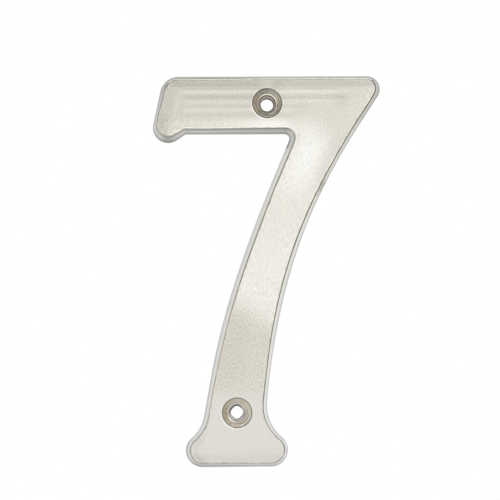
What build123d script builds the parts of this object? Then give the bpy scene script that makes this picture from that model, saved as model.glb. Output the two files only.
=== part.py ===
from build123d import *

import os
from dataclasses import dataclass
from math import atan2, cos, degrees, radians, sin, sqrt, tan

# A door number seven, cast in one piece: a flat back, sloping sides, a flat satin face and two
# countersunk screw holes. It is drawn as it is read, X to the right and Y up, with its back on
# Z = 0 and its face towards the reader, and is then stood upright with the face towards -Y.
# Lengths are millimetres. Leans are degrees from the upright.

# Overall size
HEIGHT = 101.6
WIDTH = 59.5
THICKNESS = 5.0

# Sides: the face lies inside the back outline, with a rounded edge, and the back's edge is broken
FACE_INSET = 1.2
FACE_EDGE_RADIUS = 0.5
BACK_EDGE_CHAMFER = 0.3

# Top bar: a leaning end with a beak below it, and a pointed tip at the right. The beak's rise up to
# the underside is in degrees from the level.
BAR_DEPTH = 15.2
END_LEAN = 12.5
TOP_CORNER_RADIUS = 4.8
BEAK_RADIUS = 4.0
BEAK_DROP = 2.2
BEAK_RISE = 34.0
BEAK_BLEND_RADIUS = 0.5
TIP_RADIUS = 3.4
TIP_LEAN = 33.5

# Crook, where the underside of the bar meets the stem
CROOK_REACH = 36.3
CROOK_RADIUS = 1.3
CROOK_LEAN = 23.6

# Ankle, where the stem is narrowest
ANKLE_HEIGHT = 18.4
ANKLE_WIDTH = 15.5
ANKLE_SHIFT = 0.3
ANKLE_LEFT_LEAN = 11.4
ANKLE_RIGHT_LEAN = 5.6

# How far each end of a stem side keeps its lean, as a share of the side's length
LEFT_HOLD_ABOVE = 0.64
LEFT_HOLD_BELOW = 0.20
RIGHT_HOLD_ABOVE = 0.24
RIGHT_HOLD_BELOW = 0.50

# Foot: a swell at each end, and a flare from each up into the stem
FOOT_LEFT = 8.2
FOOT_WIDTH = 26.4
FOOT_RADIUS = 4.3
LEFT_FLARE_RADIUS = 10.3
RIGHT_FLARE_RADIUS = 10.7

# Screw holes: a countersink, a short body hole below it and a bore through the back
LOWER_HOLE_HEIGHT = 14.1
COUNTERSINK_DIAMETER = 7.8
COUNTERSINK_ANGLE = 82.0
BODY_HOLE_DIAMETER = 4.6
BODY_HOLE_DEPTH = 1.0
DRILL_POINT_ANGLE = 118.0
BORE_DIAMETER = 3.4
LIP_RADIUS = 0.4
CUT_MARGIN = 1.0

UP = 90.0
DOWN = 270.0
LEFT = 180.0


def facing(angle):
    """Unit vector at an angle from +X, in degrees."""
    return Vector(cos(radians(angle)), sin(radians(angle)))


@dataclass(frozen=True)
class Round:
    """A round of the outline, from the way it faces at its start to the way it faces at its end.

    The radius is negative where the outline is hollow.
    """

    centre: Vector
    radius: float
    start: float
    end: float

    def at(self, angle, inset):
        """Point of the round that faces along an angle, moved inwards by the inset."""
        return self.centre + facing(angle) * (self.radius - inset)

    def edge(self, inset):
        """The round as an arc, moved inwards by the inset."""
        angles = (self.start, (self.start + self.end) / 2, self.end)
        return ThreePointArc(*(self.at(angle, inset) for angle in angles))


def rounding_centre(first_point, first_angle, second_point, second_angle, radius):
    """Centre of a round that touches two straight edges, each given by a point and its facing."""
    first, second = facing(first_angle), facing(second_angle)
    first_offset = first_point.dot(first) - radius
    second_offset = second_point.dot(second) - radius
    turn = first.X * second.Y - first.Y * second.X
    x = (first_offset * second.Y - second_offset * first.Y) / turn
    y = (second_offset * first.X - first_offset * second.X) / turn
    return Vector(x, y)


def hollow_centre(point, angle, radius, swell_centre, swell_radius, side):
    """Centre of a hollow that touches a straight edge and a swell; side picks one of the two."""
    along = facing(angle + UP)
    offset = point + facing(angle) * radius - swell_centre
    shift = offset.dot(along)
    reach = shift**2 - offset.dot(offset) + (radius + swell_radius) ** 2
    return swell_centre + offset + along * (side * sqrt(reach) - shift)


def direction(start, end):
    """Angle in degrees, from 0 to 360, at which one point sees another."""
    step = end - start
    return degrees(atan2(step.Y, step.X)) % 360


def bar_rounds():
    """Rounds of the bar: top left corner, tip, crook, blend under the beak, and beak."""
    underside = HEIGHT - BAR_DEPTH
    end_faces = LEFT - END_LEAN
    beak = Vector(BEAK_RADIUS, underside - BEAK_DROP + BEAK_RADIUS)
    end_point = beak + facing(end_faces) * BEAK_RADIUS
    top_point = Vector(0, HEIGHT)
    corner = rounding_centre(end_point, end_faces, top_point, UP, TOP_CORNER_RADIUS)
    tip = Vector(WIDTH - TIP_RADIUS, HEIGHT - TIP_RADIUS)
    crook_point = Vector(CROOK_REACH, underside)
    crook_faces = LEFT - CROOK_LEAN
    crook = rounding_centre(crook_point, crook_faces, crook_point, DOWN, -CROOK_RADIUS)
    rise_faces = DOWN + BEAK_RISE
    rise_point = beak + facing(rise_faces) * BEAK_RADIUS
    blend = rounding_centre(rise_point, rise_faces, crook_point, DOWN, -BEAK_BLEND_RADIUS)
    return (
        Round(corner, TOP_CORNER_RADIUS, end_faces, UP),
        Round(tip, TIP_RADIUS, UP, -TIP_LEAN),
        Round(crook, -CROOK_RADIUS, crook_faces, DOWN),
        Round(blend, -BEAK_BLEND_RADIUS, DOWN, rise_faces),
        Round(beak, BEAK_RADIUS, rise_faces, end_faces),
    )


def foot_rounds():
    """Rounds of the foot: right flare, right swell, left swell and left flare."""
    middle = FOOT_LEFT + FOOT_WIDTH / 2 + ANKLE_SHIFT
    left_ankle = Vector(middle - ANKLE_WIDTH / 2, ANKLE_HEIGHT)
    right_ankle = Vector(middle + ANKLE_WIDTH / 2, ANKLE_HEIGHT)
    left_swell = Vector(FOOT_LEFT + FOOT_RADIUS, FOOT_RADIUS)
    right_swell = Vector(FOOT_LEFT + FOOT_WIDTH - FOOT_RADIUS, FOOT_RADIUS)
    left_faces, right_faces = LEFT - ANKLE_LEFT_LEAN, -ANKLE_RIGHT_LEAN
    left_flare = hollow_centre(left_ankle, left_faces, LEFT_FLARE_RADIUS, left_swell, FOOT_RADIUS, -1)
    right_flare = hollow_centre(right_ankle, right_faces, RIGHT_FLARE_RADIUS, right_swell, FOOT_RADIUS, 1)
    left_turn = direction(left_swell, left_flare)
    right_turn = direction(right_swell, right_flare)
    return (
        Round(right_flare, -RIGHT_FLARE_RADIUS, right_faces, right_turn),
        Round(right_swell, FOOT_RADIUS, right_turn, -UP),
        Round(left_swell, FOOT_RADIUS, DOWN, left_turn),
        Round(left_flare, -LEFT_FLARE_RADIUS, left_turn, left_faces),
    )


def straight(before, after, inset):
    """Straight edge from the end of one round to the start of the next."""
    return Line(before.at(before.end, inset), after.at(after.start, inset))


def stem_side(before, after, hold_before, hold_after, inset):
    """Long curve between two rounds, leaving and meeting them without a break."""
    first = before.at(before.end, inset)
    last = after.at(after.start, inset)
    length = (last - first).length
    leave = first + facing(before.end - UP) * (hold_before * length)
    meet = last - facing(after.start - UP) * (hold_after * length)
    return Bezier(first, leave, meet, last)


def outline(inset):
    """Face bounded by the numeral's outline, moved inwards by the inset."""
    corner, tip, crook, beak_blend, beak = bar_rounds()
    right_flare, right_swell, left_swell, left_flare = foot_rounds()
    rounds = (corner, tip, right_flare, right_swell, left_swell, left_flare, crook, beak_blend, beak)
    edges = [each.edge(inset) for each in rounds]
    edges += [straight(*pair, inset) for pair in (
        (beak, corner), (corner, tip), (right_swell, left_swell), (crook, beak_blend), (beak_blend, beak))]
    edges.append(stem_side(tip, right_flare, RIGHT_HOLD_ABOVE, RIGHT_HOLD_BELOW, inset))
    edges.append(stem_side(left_flare, crook, LEFT_HOLD_BELOW, LEFT_HOLD_ABOVE, inset))
    return make_face(Wire(edges))


def casting():
    """The numeral without its holes: sloping sides between the back and the smaller face.

    Breaking the back edge takes a little off the outline, so the sharp back starts that much larger.
    """
    slope = FACE_INSET / THICKNESS
    broken = BACK_EDGE_CHAMFER * slope / sqrt(1 + slope**2)
    back = outline(-broken)
    face = Pos(0, 0, THICKNESS) * outline(FACE_INSET - broken)
    body = loft([back, face], ruled=True)
    body = fillet(body.faces().sort_by(Axis.Z)[-1].edges(), FACE_EDGE_RADIUS)
    return chamfer(body.faces().sort_by(Axis.Z)[0].edges(), BACK_EDGE_CHAMFER)


def screw_hole():
    """Cutter for one screw hole, turned about Z, with the back on Z = 0."""
    head, body, bore = (size / 2 for size in (COUNTERSINK_DIAMETER, BODY_HOLE_DIAMETER, BORE_DIAMETER))
    cone_slope = tan(radians(COUNTERSINK_ANGLE / 2))
    lip = THICKNESS - (head - body) / cone_slope
    floor = lip - BODY_HOLE_DEPTH
    bore_top = floor - (body - bore) / tan(radians(DRILL_POINT_ANGLE / 2))
    mouth = head + CUT_MARGIN * cone_slope
    section = make_face(Plane.XZ * Polyline(
        (0, THICKNESS + CUT_MARGIN),
        (mouth, THICKNESS + CUT_MARGIN),
        (body, lip),
        (body, floor),
        (bore, bore_top),
        (bore, -CUT_MARGIN),
        (0, -CUT_MARGIN),
        close=True,
    ))
    lip_corner = section.vertices().sort_by_distance((body, 0, lip))[0]
    return revolve(fillet(lip_corner, LIP_RADIUS), Axis.Z)


def hole_centres():
    """Upper hole in the middle of the bar, lower hole over the middle of the foot."""
    upper = Vector(WIDTH / 2, HEIGHT - BAR_DEPTH / 2)
    lower = Vector(FOOT_LEFT + FOOT_WIDTH / 2, LOWER_HOLE_HEIGHT)
    return upper, lower


def number_seven():
    """The finished numeral, upright, with its origin midway between the holes on the back."""
    upper, lower = hole_centres()
    hole = screw_hole()
    drilled = casting() - [Pos(upper) * hole, Pos(lower) * hole]
    return Plane.XZ * Pos((upper + lower) / -2) * drilled


os.makedirs("parts", exist_ok=True)
export_step(number_seven(), "parts/number_seven.step")
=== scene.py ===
"""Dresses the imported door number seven: one casting with a satin nickel face and two turned screw holes.

The numeral is built again as a finer mesh inside the CAD node's own box, with the relief that hand
finishing leaves on its face, and takes the node's place. Lengths are millimetres unless a name says
otherwise, and a mesh is scaled to metres as it is made.
"""

import logging
import math
from dataclasses import dataclass, field
from enum import Enum
from functools import reduce
from typing import ClassVar, NamedTuple, Sequence, Union

import bmesh
import bpy
import numpy as np
from mathutils import Matrix, Vector
from mathutils.geometry import delaunay_2d_cdt
from mathutils.kdtree import KDTree

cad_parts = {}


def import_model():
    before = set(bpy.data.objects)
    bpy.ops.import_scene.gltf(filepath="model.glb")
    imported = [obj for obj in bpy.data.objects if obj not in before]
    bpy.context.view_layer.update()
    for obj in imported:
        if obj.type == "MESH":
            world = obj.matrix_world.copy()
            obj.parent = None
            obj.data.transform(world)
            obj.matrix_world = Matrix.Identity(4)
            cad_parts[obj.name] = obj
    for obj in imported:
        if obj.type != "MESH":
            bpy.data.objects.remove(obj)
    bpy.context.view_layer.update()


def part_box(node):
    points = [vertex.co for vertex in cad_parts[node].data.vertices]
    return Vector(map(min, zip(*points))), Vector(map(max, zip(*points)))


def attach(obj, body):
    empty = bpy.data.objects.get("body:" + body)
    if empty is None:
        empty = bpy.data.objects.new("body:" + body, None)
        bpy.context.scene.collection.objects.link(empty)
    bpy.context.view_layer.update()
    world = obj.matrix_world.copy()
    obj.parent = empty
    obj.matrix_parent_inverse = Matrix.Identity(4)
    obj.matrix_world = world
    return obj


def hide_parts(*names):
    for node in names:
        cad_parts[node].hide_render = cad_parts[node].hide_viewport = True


LOG = logging.getLogger("door_number")
MM = 0.001
NODE = "number_seven"

UP = 90.0
DOWN = 270.0
LEFT = 180.0

# Heights closer than this are level
LEVEL = 1e-6

# Gap of a hole's vertices from the face's edge until it is measured
FAR_GAP = 9.0

Colour = tuple[float, float, float]
Spot = tuple[float, float, float]
Span = tuple[float, ...]
Curve = tuple[tuple[float, float], ...]
Amount = Union["Number", float]


class Skin(Enum):
    """The finishes of the casting, in the order of its material slots."""

    FACE = 0
    SIDE = 1
    HOLE = 2
    BACK = 3


def facing(angle: Union[float, np.ndarray]) -> np.ndarray:
    """Unit vectors at angles from +X, in degrees, as x and z."""
    turn = np.radians(angle)
    return np.stack([np.cos(turn), np.sin(turn)], axis=-1)


def soft_step(value: np.ndarray, low: float, high: float) -> np.ndarray:
    """Smooth climb from 0 at one value to 1 at another."""
    share = np.clip((np.asarray(value, float) - low) / (high - low), 0.0, 1.0)
    return share * share * (3.0 - 2.0 * share)


def ease(corners: Sequence[Spot], steps: int) -> np.ndarray:
    """Line through corners, each rounded off to its own radius.

    Args:
        corners: Two coordinates and a radius each; the radii of the two ends aren't used.
        steps: Pieces that each rounding is divided into.

    Returns:
        The line's points, one a row.
    """
    points = [np.array(corners[0][:2])]
    for before, corner, after in zip(corners, corners[1:], corners[2:]):
        middle, radius = np.array(corner[:2]), corner[2]
        back, ahead = np.array(before[:2]) - middle, np.array(after[:2]) - middle
        back, ahead = back / np.linalg.norm(back), ahead / np.linalg.norm(ahead)
        half = math.acos(float(np.clip(back @ ahead, -1.0, 1.0))) / 2.0
        bisector = (back + ahead) / np.linalg.norm(back + ahead)
        centre = middle + bisector * radius / math.sin(half)
        first = middle + back * radius / math.tan(half) - centre
        last = middle + ahead * radius / math.tan(half) - centre
        start = math.atan2(first[1], first[0])
        sweep = (math.atan2(last[1], last[0]) - start + math.pi) % (2.0 * math.pi) - math.pi
        turn = start + sweep * np.linspace(0.0, 1.0, steps + 1)
        points.extend(centre + radius * np.stack([np.cos(turn), np.sin(turn)], axis=-1))
    points.append(np.array(corners[-1][:2]))
    return np.array(points)


def divide(line: np.ndarray, pitch: float) -> np.ndarray:
    """Adds points to a line where its pieces are too long.

    Args:
        line: Points, one a row.
        pitch: Longest piece.

    Returns:
        The line with its new points.
    """
    points = [line[:1]]
    for start, end in zip(line, line[1:]):
        count = max(1, math.ceil(float(np.linalg.norm(end - start)) / pitch))
        points.append(start + (end - start) * np.linspace(0.0, 1.0, count + 1)[1:, None])
    return np.concatenate(points)


@dataclass(frozen=True)
class Round:
    """A round of the outline, from the way it faces at its start to the way it faces at its end.

    The radius is negative where the outline is hollow. Angles are degrees from +X.
    """

    FEWEST_POINTS: ClassVar[int] = 6

    centre: np.ndarray
    radius: float
    start: float
    end: float

    def at(self, angle: Union[float, np.ndarray]) -> np.ndarray:
        """Points of the round that face along angles."""
        return self.centre + facing(angle) * self.radius

    def walk(self, step: float) -> tuple[np.ndarray, np.ndarray]:
        """Goes along the round.

        Args:
            step: Longest distance from a point to the next.

        Returns:
            The points without the last, and the unit vectors along which each faces.
        """
        length = abs(self.radius) * math.radians(abs(self.end - self.start))
        count = max(self.FEWEST_POINTS, math.ceil(length / step))
        angles = np.linspace(self.start, self.end, count, endpoint=False)
        return self.at(angles), facing(angles)


@dataclass(frozen=True)
class Outline:
    """Widest outline of the seven, drawn as it is read from the corner of its box, X right and Z up.

    Leans are degrees from the upright and the beak's rise from the level. A hold is how far one end of a
    stem side keeps its lean, as a share of the side's length.
    """

    width: float
    height: float
    bar_depth: float = 15.2
    end_lean: float = 12.5
    top_corner_radius: float = 4.8
    beak_radius: float = 4.0
    beak_drop: float = 2.2
    beak_rise: float = 34.0
    beak_blend_radius: float = 0.5
    tip_radius: float = 3.4
    tip_lean: float = 33.5
    crook_reach: float = 36.3
    crook_radius: float = 1.3
    crook_lean: float = 23.6
    ankle_height: float = 18.4
    ankle_width: float = 15.5
    ankle_shift: float = 0.3
    ankle_left_lean: float = 11.4
    ankle_right_lean: float = 5.6
    left_hold_above: float = 0.64
    left_hold_below: float = 0.20
    right_hold_above: float = 0.24
    right_hold_below: float = 0.50
    foot_left: float = 8.2
    foot_width: float = 26.4
    foot_radius: float = 4.3
    left_flare_radius: float = 10.3
    right_flare_radius: float = 10.7
    lower_hole_height: float = 14.1

    @property
    def hole_centres(self) -> tuple[np.ndarray, np.ndarray]:
        """Upper hole in the middle of the bar, lower hole over the middle of the foot.

        Returns:
            Their centres, the upper hole's first.
        """
        upper = np.array([self.width / 2.0, self.height - self.bar_depth / 2.0])
        lower = np.array([self.foot_left + self.foot_width / 2.0, self.lower_hole_height])
        return upper, lower

    @staticmethod
    def rounding_centre(first_point: np.ndarray, first_angle: float, second_point: np.ndarray,
                        second_angle: float, radius: float) -> np.ndarray:
        """Fits a round that touches two straight edges.

        Args:
            first_point: A point of the first edge.
            first_angle: The way that edge faces.
            second_point: A point of the second edge.
            second_angle: The way that edge faces.
            radius: Radius of the round, negative in a hollow corner.

        Returns:
            The centre.
        """
        sides = np.stack([facing(first_angle), facing(second_angle)])
        reach = np.array([first_point @ sides[0], second_point @ sides[1]]) - radius
        return np.linalg.solve(sides, reach)

    @staticmethod
    def hollow_centre(point: np.ndarray, angle: float, radius: float, swell: np.ndarray,
                      swell_radius: float, side: int) -> np.ndarray:
        """Fits a hollow that touches a straight edge and a swell.

        Args:
            point: A point of the edge.
            angle: The way the edge faces.
            radius: Radius of the hollow.
            swell: Centre of the swell.
            swell_radius: Radius of the swell.
            side: Which of the two hollows, 1 or -1.

        Returns:
            The centre.
        """
        along = facing(angle + UP)
        offset = point + facing(angle) * radius - swell
        shift = float(offset @ along)
        reach = shift**2 - float(offset @ offset) + (radius + swell_radius) ** 2
        return swell + offset + along * (side * math.sqrt(reach) - shift)

    @staticmethod
    def direction(start: np.ndarray, end: np.ndarray) -> float:
        """Angle in degrees, from 0 to 360, at which one point sees another."""
        return math.degrees(math.atan2(end[1] - start[1], end[0] - start[0])) % 360.0

    def bar_rounds(self) -> tuple[Round, Round, Round, Round, Round]:
        """Works out the rounds of the bar.

        Returns:
            Top left corner, tip, crook, blend under the beak, and beak.
        """
        underside = self.height - self.bar_depth
        end_faces = LEFT - self.end_lean
        beak = np.array([self.beak_radius, underside - self.beak_drop + self.beak_radius])
        end_point = beak + facing(end_faces) * self.beak_radius
        top_point = np.array([0.0, self.height])
        corner = self.rounding_centre(end_point, end_faces, top_point, UP, self.top_corner_radius)
        tip = np.array([self.width - self.tip_radius, self.height - self.tip_radius])
        crook_point = np.array([self.crook_reach, underside])
        crook_faces = LEFT - self.crook_lean
        crook = self.rounding_centre(crook_point, crook_faces, crook_point, DOWN, -self.crook_radius)
        rise_faces = DOWN + self.beak_rise
        rise_point = beak + facing(rise_faces) * self.beak_radius
        blend = self.rounding_centre(rise_point, rise_faces, crook_point, DOWN, -self.beak_blend_radius)
        return (
            Round(corner, self.top_corner_radius, end_faces, UP),
            Round(tip, self.tip_radius, UP, -self.tip_lean),
            Round(crook, -self.crook_radius, crook_faces, DOWN),
            Round(blend, -self.beak_blend_radius, DOWN, rise_faces),
            Round(beak, self.beak_radius, rise_faces, end_faces),
        )

    def foot_rounds(self) -> tuple[Round, Round, Round, Round]:
        """Works out the rounds of the foot.

        Returns:
            Right flare, right swell, left swell and left flare.
        """
        middle = self.foot_left + self.foot_width / 2.0 + self.ankle_shift
        left_ankle = np.array([middle - self.ankle_width / 2.0, self.ankle_height])
        right_ankle = np.array([middle + self.ankle_width / 2.0, self.ankle_height])
        left_swell = np.array([self.foot_left + self.foot_radius, self.foot_radius])
        right_swell = left_swell + np.array([self.foot_width - 2.0 * self.foot_radius, 0.0])
        left_faces, right_faces = LEFT - self.ankle_left_lean, -self.ankle_right_lean
        left_flare = self.hollow_centre(
            left_ankle, left_faces, self.left_flare_radius, left_swell, self.foot_radius, -1)
        right_flare = self.hollow_centre(
            right_ankle, right_faces, self.right_flare_radius, right_swell, self.foot_radius, 1)
        left_turn = self.direction(left_swell, left_flare)
        right_turn = self.direction(right_swell, right_flare)
        return (
            Round(right_flare, -self.right_flare_radius, right_faces, right_turn),
            Round(right_swell, self.foot_radius, right_turn, -UP),
            Round(left_swell, self.foot_radius, DOWN, left_turn),
            Round(left_flare, -self.left_flare_radius, left_turn, left_faces),
        )

    @staticmethod
    def straight(before: Round, after: Round, step: float) -> tuple[np.ndarray, np.ndarray]:
        """Goes along the straight edge between two rounds.

        Args:
            before: Round that it leaves.
            after: Round that it meets.
            step: Longest distance from a point to the next.

        Returns:
            The points without the last, and the unit vectors along which each faces.
        """
        first, last = before.at(before.end), after.at(after.start)
        count = max(2, math.ceil(float(np.linalg.norm(last - first)) / step))
        share = np.linspace(0.0, 1.0, count, endpoint=False)[:, None]
        return first + (last - first) * share, np.repeat(facing(before.end)[None], count, axis=0)

    @staticmethod
    def stem_side(before: Round, after: Round, holds: tuple[float, float],
                  step: float) -> tuple[np.ndarray, np.ndarray]:
        """Goes along the long curve between two rounds.

        Args:
            before: Round that it leaves.
            after: Round that it meets.
            holds: How far each end keeps its lean, as shares of the length.
            step: Longest distance from a point to the next.

        Returns:
            The points without the last, and the unit vectors along which each faces.
        """
        first, last = before.at(before.end), after.at(after.start)
        length = float(np.linalg.norm(last - first))
        leave = first + facing(before.end - UP) * (holds[0] * length)
        meet = last - facing(after.start - UP) * (holds[1] * length)
        share = np.linspace(0.0, 1.0, math.ceil(length / step), endpoint=False)[:, None]
        rest = 1.0 - share
        points = (rest**3 * first + 3.0 * rest**2 * share * leave
                  + 3.0 * rest * share**2 * meet + share**3 * last)
        heading = rest**2 * (leave - first) + 2.0 * rest * share * (meet - leave) + share**2 * (last - meet)
        heading = heading / np.linalg.norm(heading, axis=1, keepdims=True)
        return points, np.stack([-heading[:, 1], heading[:, 0]], axis=-1)

    def walk(self, step: float) -> tuple[np.ndarray, np.ndarray]:
        """Goes clockwise round the outline from its top left corner.

        Args:
            step: Longest distance from a point to the next.

        Returns:
            The points, and the unit vectors along which each faces.
        """
        corner, tip, crook, beak_blend, beak = self.bar_rounds()
        right_flare, right_swell, left_swell, left_flare = self.foot_rounds()
        right_holds = (self.right_hold_above, self.right_hold_below)
        left_holds = (self.left_hold_below, self.left_hold_above)
        runs = (
            corner.walk(step), self.straight(corner, tip, step), tip.walk(step),
            self.stem_side(tip, right_flare, right_holds, step), right_flare.walk(step),
            right_swell.walk(step), self.straight(right_swell, left_swell, step), left_swell.walk(step),
            left_flare.walk(step), self.stem_side(left_flare, crook, left_holds, step), crook.walk(step),
            self.straight(crook, beak_blend, step), beak_blend.walk(step),
            self.straight(beak_blend, beak, step), beak.walk(step), self.straight(beak, corner, step),
        )
        return np.concatenate([run[0] for run in runs]), np.concatenate([run[1] for run in runs])


@dataclass(frozen=True)
class SideSection:
    """Section of the sloping side, from the flat back round to the face."""

    thickness: float
    face_inset: float = 1.2
    face_edge_radius: float = 0.5
    back_edge_radius: float = 0.3
    border: float = 0.45
    pitch: float = 0.6
    edge_steps: int = 9
    # How much further in the face's edge was ground, by the share of the way round the outline
    ground: Curve = (
        (0.000, 0.02), (0.006, 0.06), (0.045, 0.18), (0.065, 0.14), (0.075, 0.08), (0.095, 0.00),
        (0.160, 0.00), (0.170, 0.00), (0.176, 0.42), (0.181, 0.64), (0.187, 0.40), (0.191, 0.18),
        (0.197, -0.18), (0.215, -0.07), (0.250, -0.19), (0.275, -0.10), (0.292, 0.00), (0.330, 0.12),
        (0.360, 0.20), (0.400, 0.10), (0.430, -0.07), (0.465, -0.05), (0.480, -0.34), (0.488, -0.37),
        (0.497, -0.10), (0.503, 0.00), (0.511, 0.02), (0.520, -0.24), (0.530, -0.18), (0.545, -0.13),
        (0.560, -0.04), (0.590, -0.06), (0.600, -0.25), (0.612, -0.02), (0.620, -0.04), (0.640, -0.12),
        (0.675, 0.08), (0.730, 0.09), (0.775, 0.13), (0.810, 0.05), (0.848, 0.15), (0.862, -0.04),
        (0.885, -0.08), (0.897, -0.13), (0.920, -0.24), (0.933, -0.21), (0.943, 0.04), (0.950, 0.24),
        (0.958, 0.28), (0.965, 0.12), (0.972, -0.22), (0.990, -0.18),
    )
    ground_spread: float = 0.006
    ground_taps: int = 7

    def ground_off(self, points: np.ndarray) -> np.ndarray:
        """Finds how the face's edge was ground round the outline.

        Args:
            points: Points of the outline, one a row.

        Returns:
            How much further in than elsewhere the edge is at each.
        """
        gaps = np.linalg.norm(np.diff(points, axis=0, append=points[:1]), axis=1)
        share = np.concatenate([[0.0], np.cumsum(gaps)[:-1]]) / gaps.sum()
        places, depths = zip(*self.ground)
        spread = np.linspace(-self.ground_spread, self.ground_spread, self.ground_taps)
        return np.mean([np.interp(share + each, places, depths, period=1.0) for each in spread], axis=0)

    def rows(self) -> np.ndarray:
        """Draws the section.

        Returns:
            Rows from the back to the face, as the inset from the widest outline and the height.
        """
        slope = self.face_inset / self.thickness
        eased = self.back_edge_radius * (math.sqrt(1.0 + slope**2) + slope - 1.0)
        reach = self.face_inset + self.face_edge_radius + self.border
        corners = (
            (reach, 0.0, 0.0),
            (-eased, 0.0, self.back_edge_radius),
            (self.face_inset - eased, self.thickness, self.face_edge_radius),
            (reach, self.thickness, 0.0),
        )
        return divide(ease(corners, self.edge_steps), self.pitch)


class HoleWays(NamedTuple):
    """Where the parts of a screw hole's wall begin, as the way down it from outside the rim."""

    cone: float
    ledge: float
    wall: float
    floor: float
    bore: float


@dataclass(frozen=True)
class ScrewHole:
    """A countersink, a narrow ledge, a short body hole and a bore, turned in one setting."""

    thickness: float
    countersink_diameter: float = 7.8
    countersink_angle: float = 82.0
    body_diameter: float = 4.6
    body_depth: float = 1.0
    drill_angle: float = 118.0
    bore_diameter: float = 3.4
    rim_radius: float = 0.12
    ledge_width: float = 0.30
    ledge_tilt: float = 8.0
    burr_radius: float = 0.08
    bore_square: float = 0.0
    bore_burr: float = 0.0
    bore_shift: tuple[float, float] = (0.0, 0.0)
    border: float = 0.5
    pitch: float = 0.07
    spokes: int = 96
    edge_steps: int = 5
    mark_pitch: float = 0.34
    mark_depth: float = 0.02
    mark_start: float = 0.6
    mark_end: tuple[float, float] = (0.35, 0.1)

    def corners(self) -> tuple[Spot, ...]:
        """Works out the corners of the section from the face down to the back.

        Returns:
            The radius, the height and the rounding of each.
        """
        head, body, bore = (size / 2.0 for size in (
            self.countersink_diameter, self.body_diameter, self.bore_diameter))
        cone = math.tan(math.radians(self.countersink_angle / 2.0))
        ledge = body + self.ledge_width
        ledge_height = self.thickness - (head - ledge) / cone
        floor = self.thickness - (head - body) / cone - self.body_depth
        bore_top = floor - (body - bore) / math.tan(math.radians(self.drill_angle / 2.0))
        drop = self.ledge_width * math.tan(math.radians(self.ledge_tilt))
        return (
            (head + self.border, self.thickness, 0.0),
            (head, self.thickness, self.rim_radius),
            (ledge, ledge_height, self.burr_radius),
            (body, ledge_height - drop, self.burr_radius),
            (body, floor, self.burr_radius),
            (bore, bore_top, self.burr_radius),
            (bore, 0.0, self.burr_radius),
            (bore + self.border, 0.0, 0.0),
        )

    def ways(self) -> HoleWays:
        """Measures the way down the wall.

        Returns:
            How far down the wall each of its parts begins.
        """
        corners = np.array(self.corners())[:, :2]
        steps = np.linalg.norm(np.diff(corners, axis=0), axis=1)
        return HoleWays(*np.cumsum(steps)[:len(HoleWays._fields)])

    def rows(self) -> np.ndarray:
        """Rows from the face down to the back, as the radius and the height."""
        return divide(ease(self.corners(), self.edge_steps), self.pitch)

    def turned(self, centre: np.ndarray, first_angle: float) -> tuple[np.ndarray, np.ndarray]:
        """The hole's wall, with the tool's spiral left in the cone.

        Args:
            centre: Place of the hole's axis.
            first_angle: Where the tool's spiral begins, in degrees.

        Returns:
            Points as x, depth and z with the shape (rows, spokes, 3), and each row's way down the
            wall from the rim.
        """
        rows = self.rows()
        angles = np.linspace(0.0, 360.0, self.spokes, endpoint=False)
        way = np.concatenate([[0.0], np.cumsum(np.linalg.norm(np.diff(rows, axis=0), axis=1))])
        body, head = self.body_diameter / 2.0, self.countersink_diameter / 2.0
        cone = soft_step(rows[:, 0], body + self.ledge_width, body + self.mark_start)
        cone *= 1.0 - soft_step(rows[:, 0], *(head - each for each in self.mark_end))
        phase = way[:, None] / self.mark_pitch - (angles[None, :] - first_angle) / 360.0
        mark = self.mark_depth * cone[:, None] * (0.5 + 0.5 * np.cos(2.0 * math.pi * phase))
        bored = 1.0 - soft_step(rows[:, 0], self.bore_diameter / 2.0, body)
        square = self.bore_square * np.cos(np.radians(4.0 * angles)) - self.bore_burr
        radius = rows[:, :1] + mark + bored[:, None] * square[None, :]
        plan = centre + facing(angles)[None] * radius[..., None]
        plan += np.array(self.bore_shift) * bored[:, None, None]
        depth = np.broadcast_to(-rows[:, 1:], radius.shape)
        return np.stack([plan[..., 0], depth, plan[..., 1]], axis=-1), way


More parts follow.
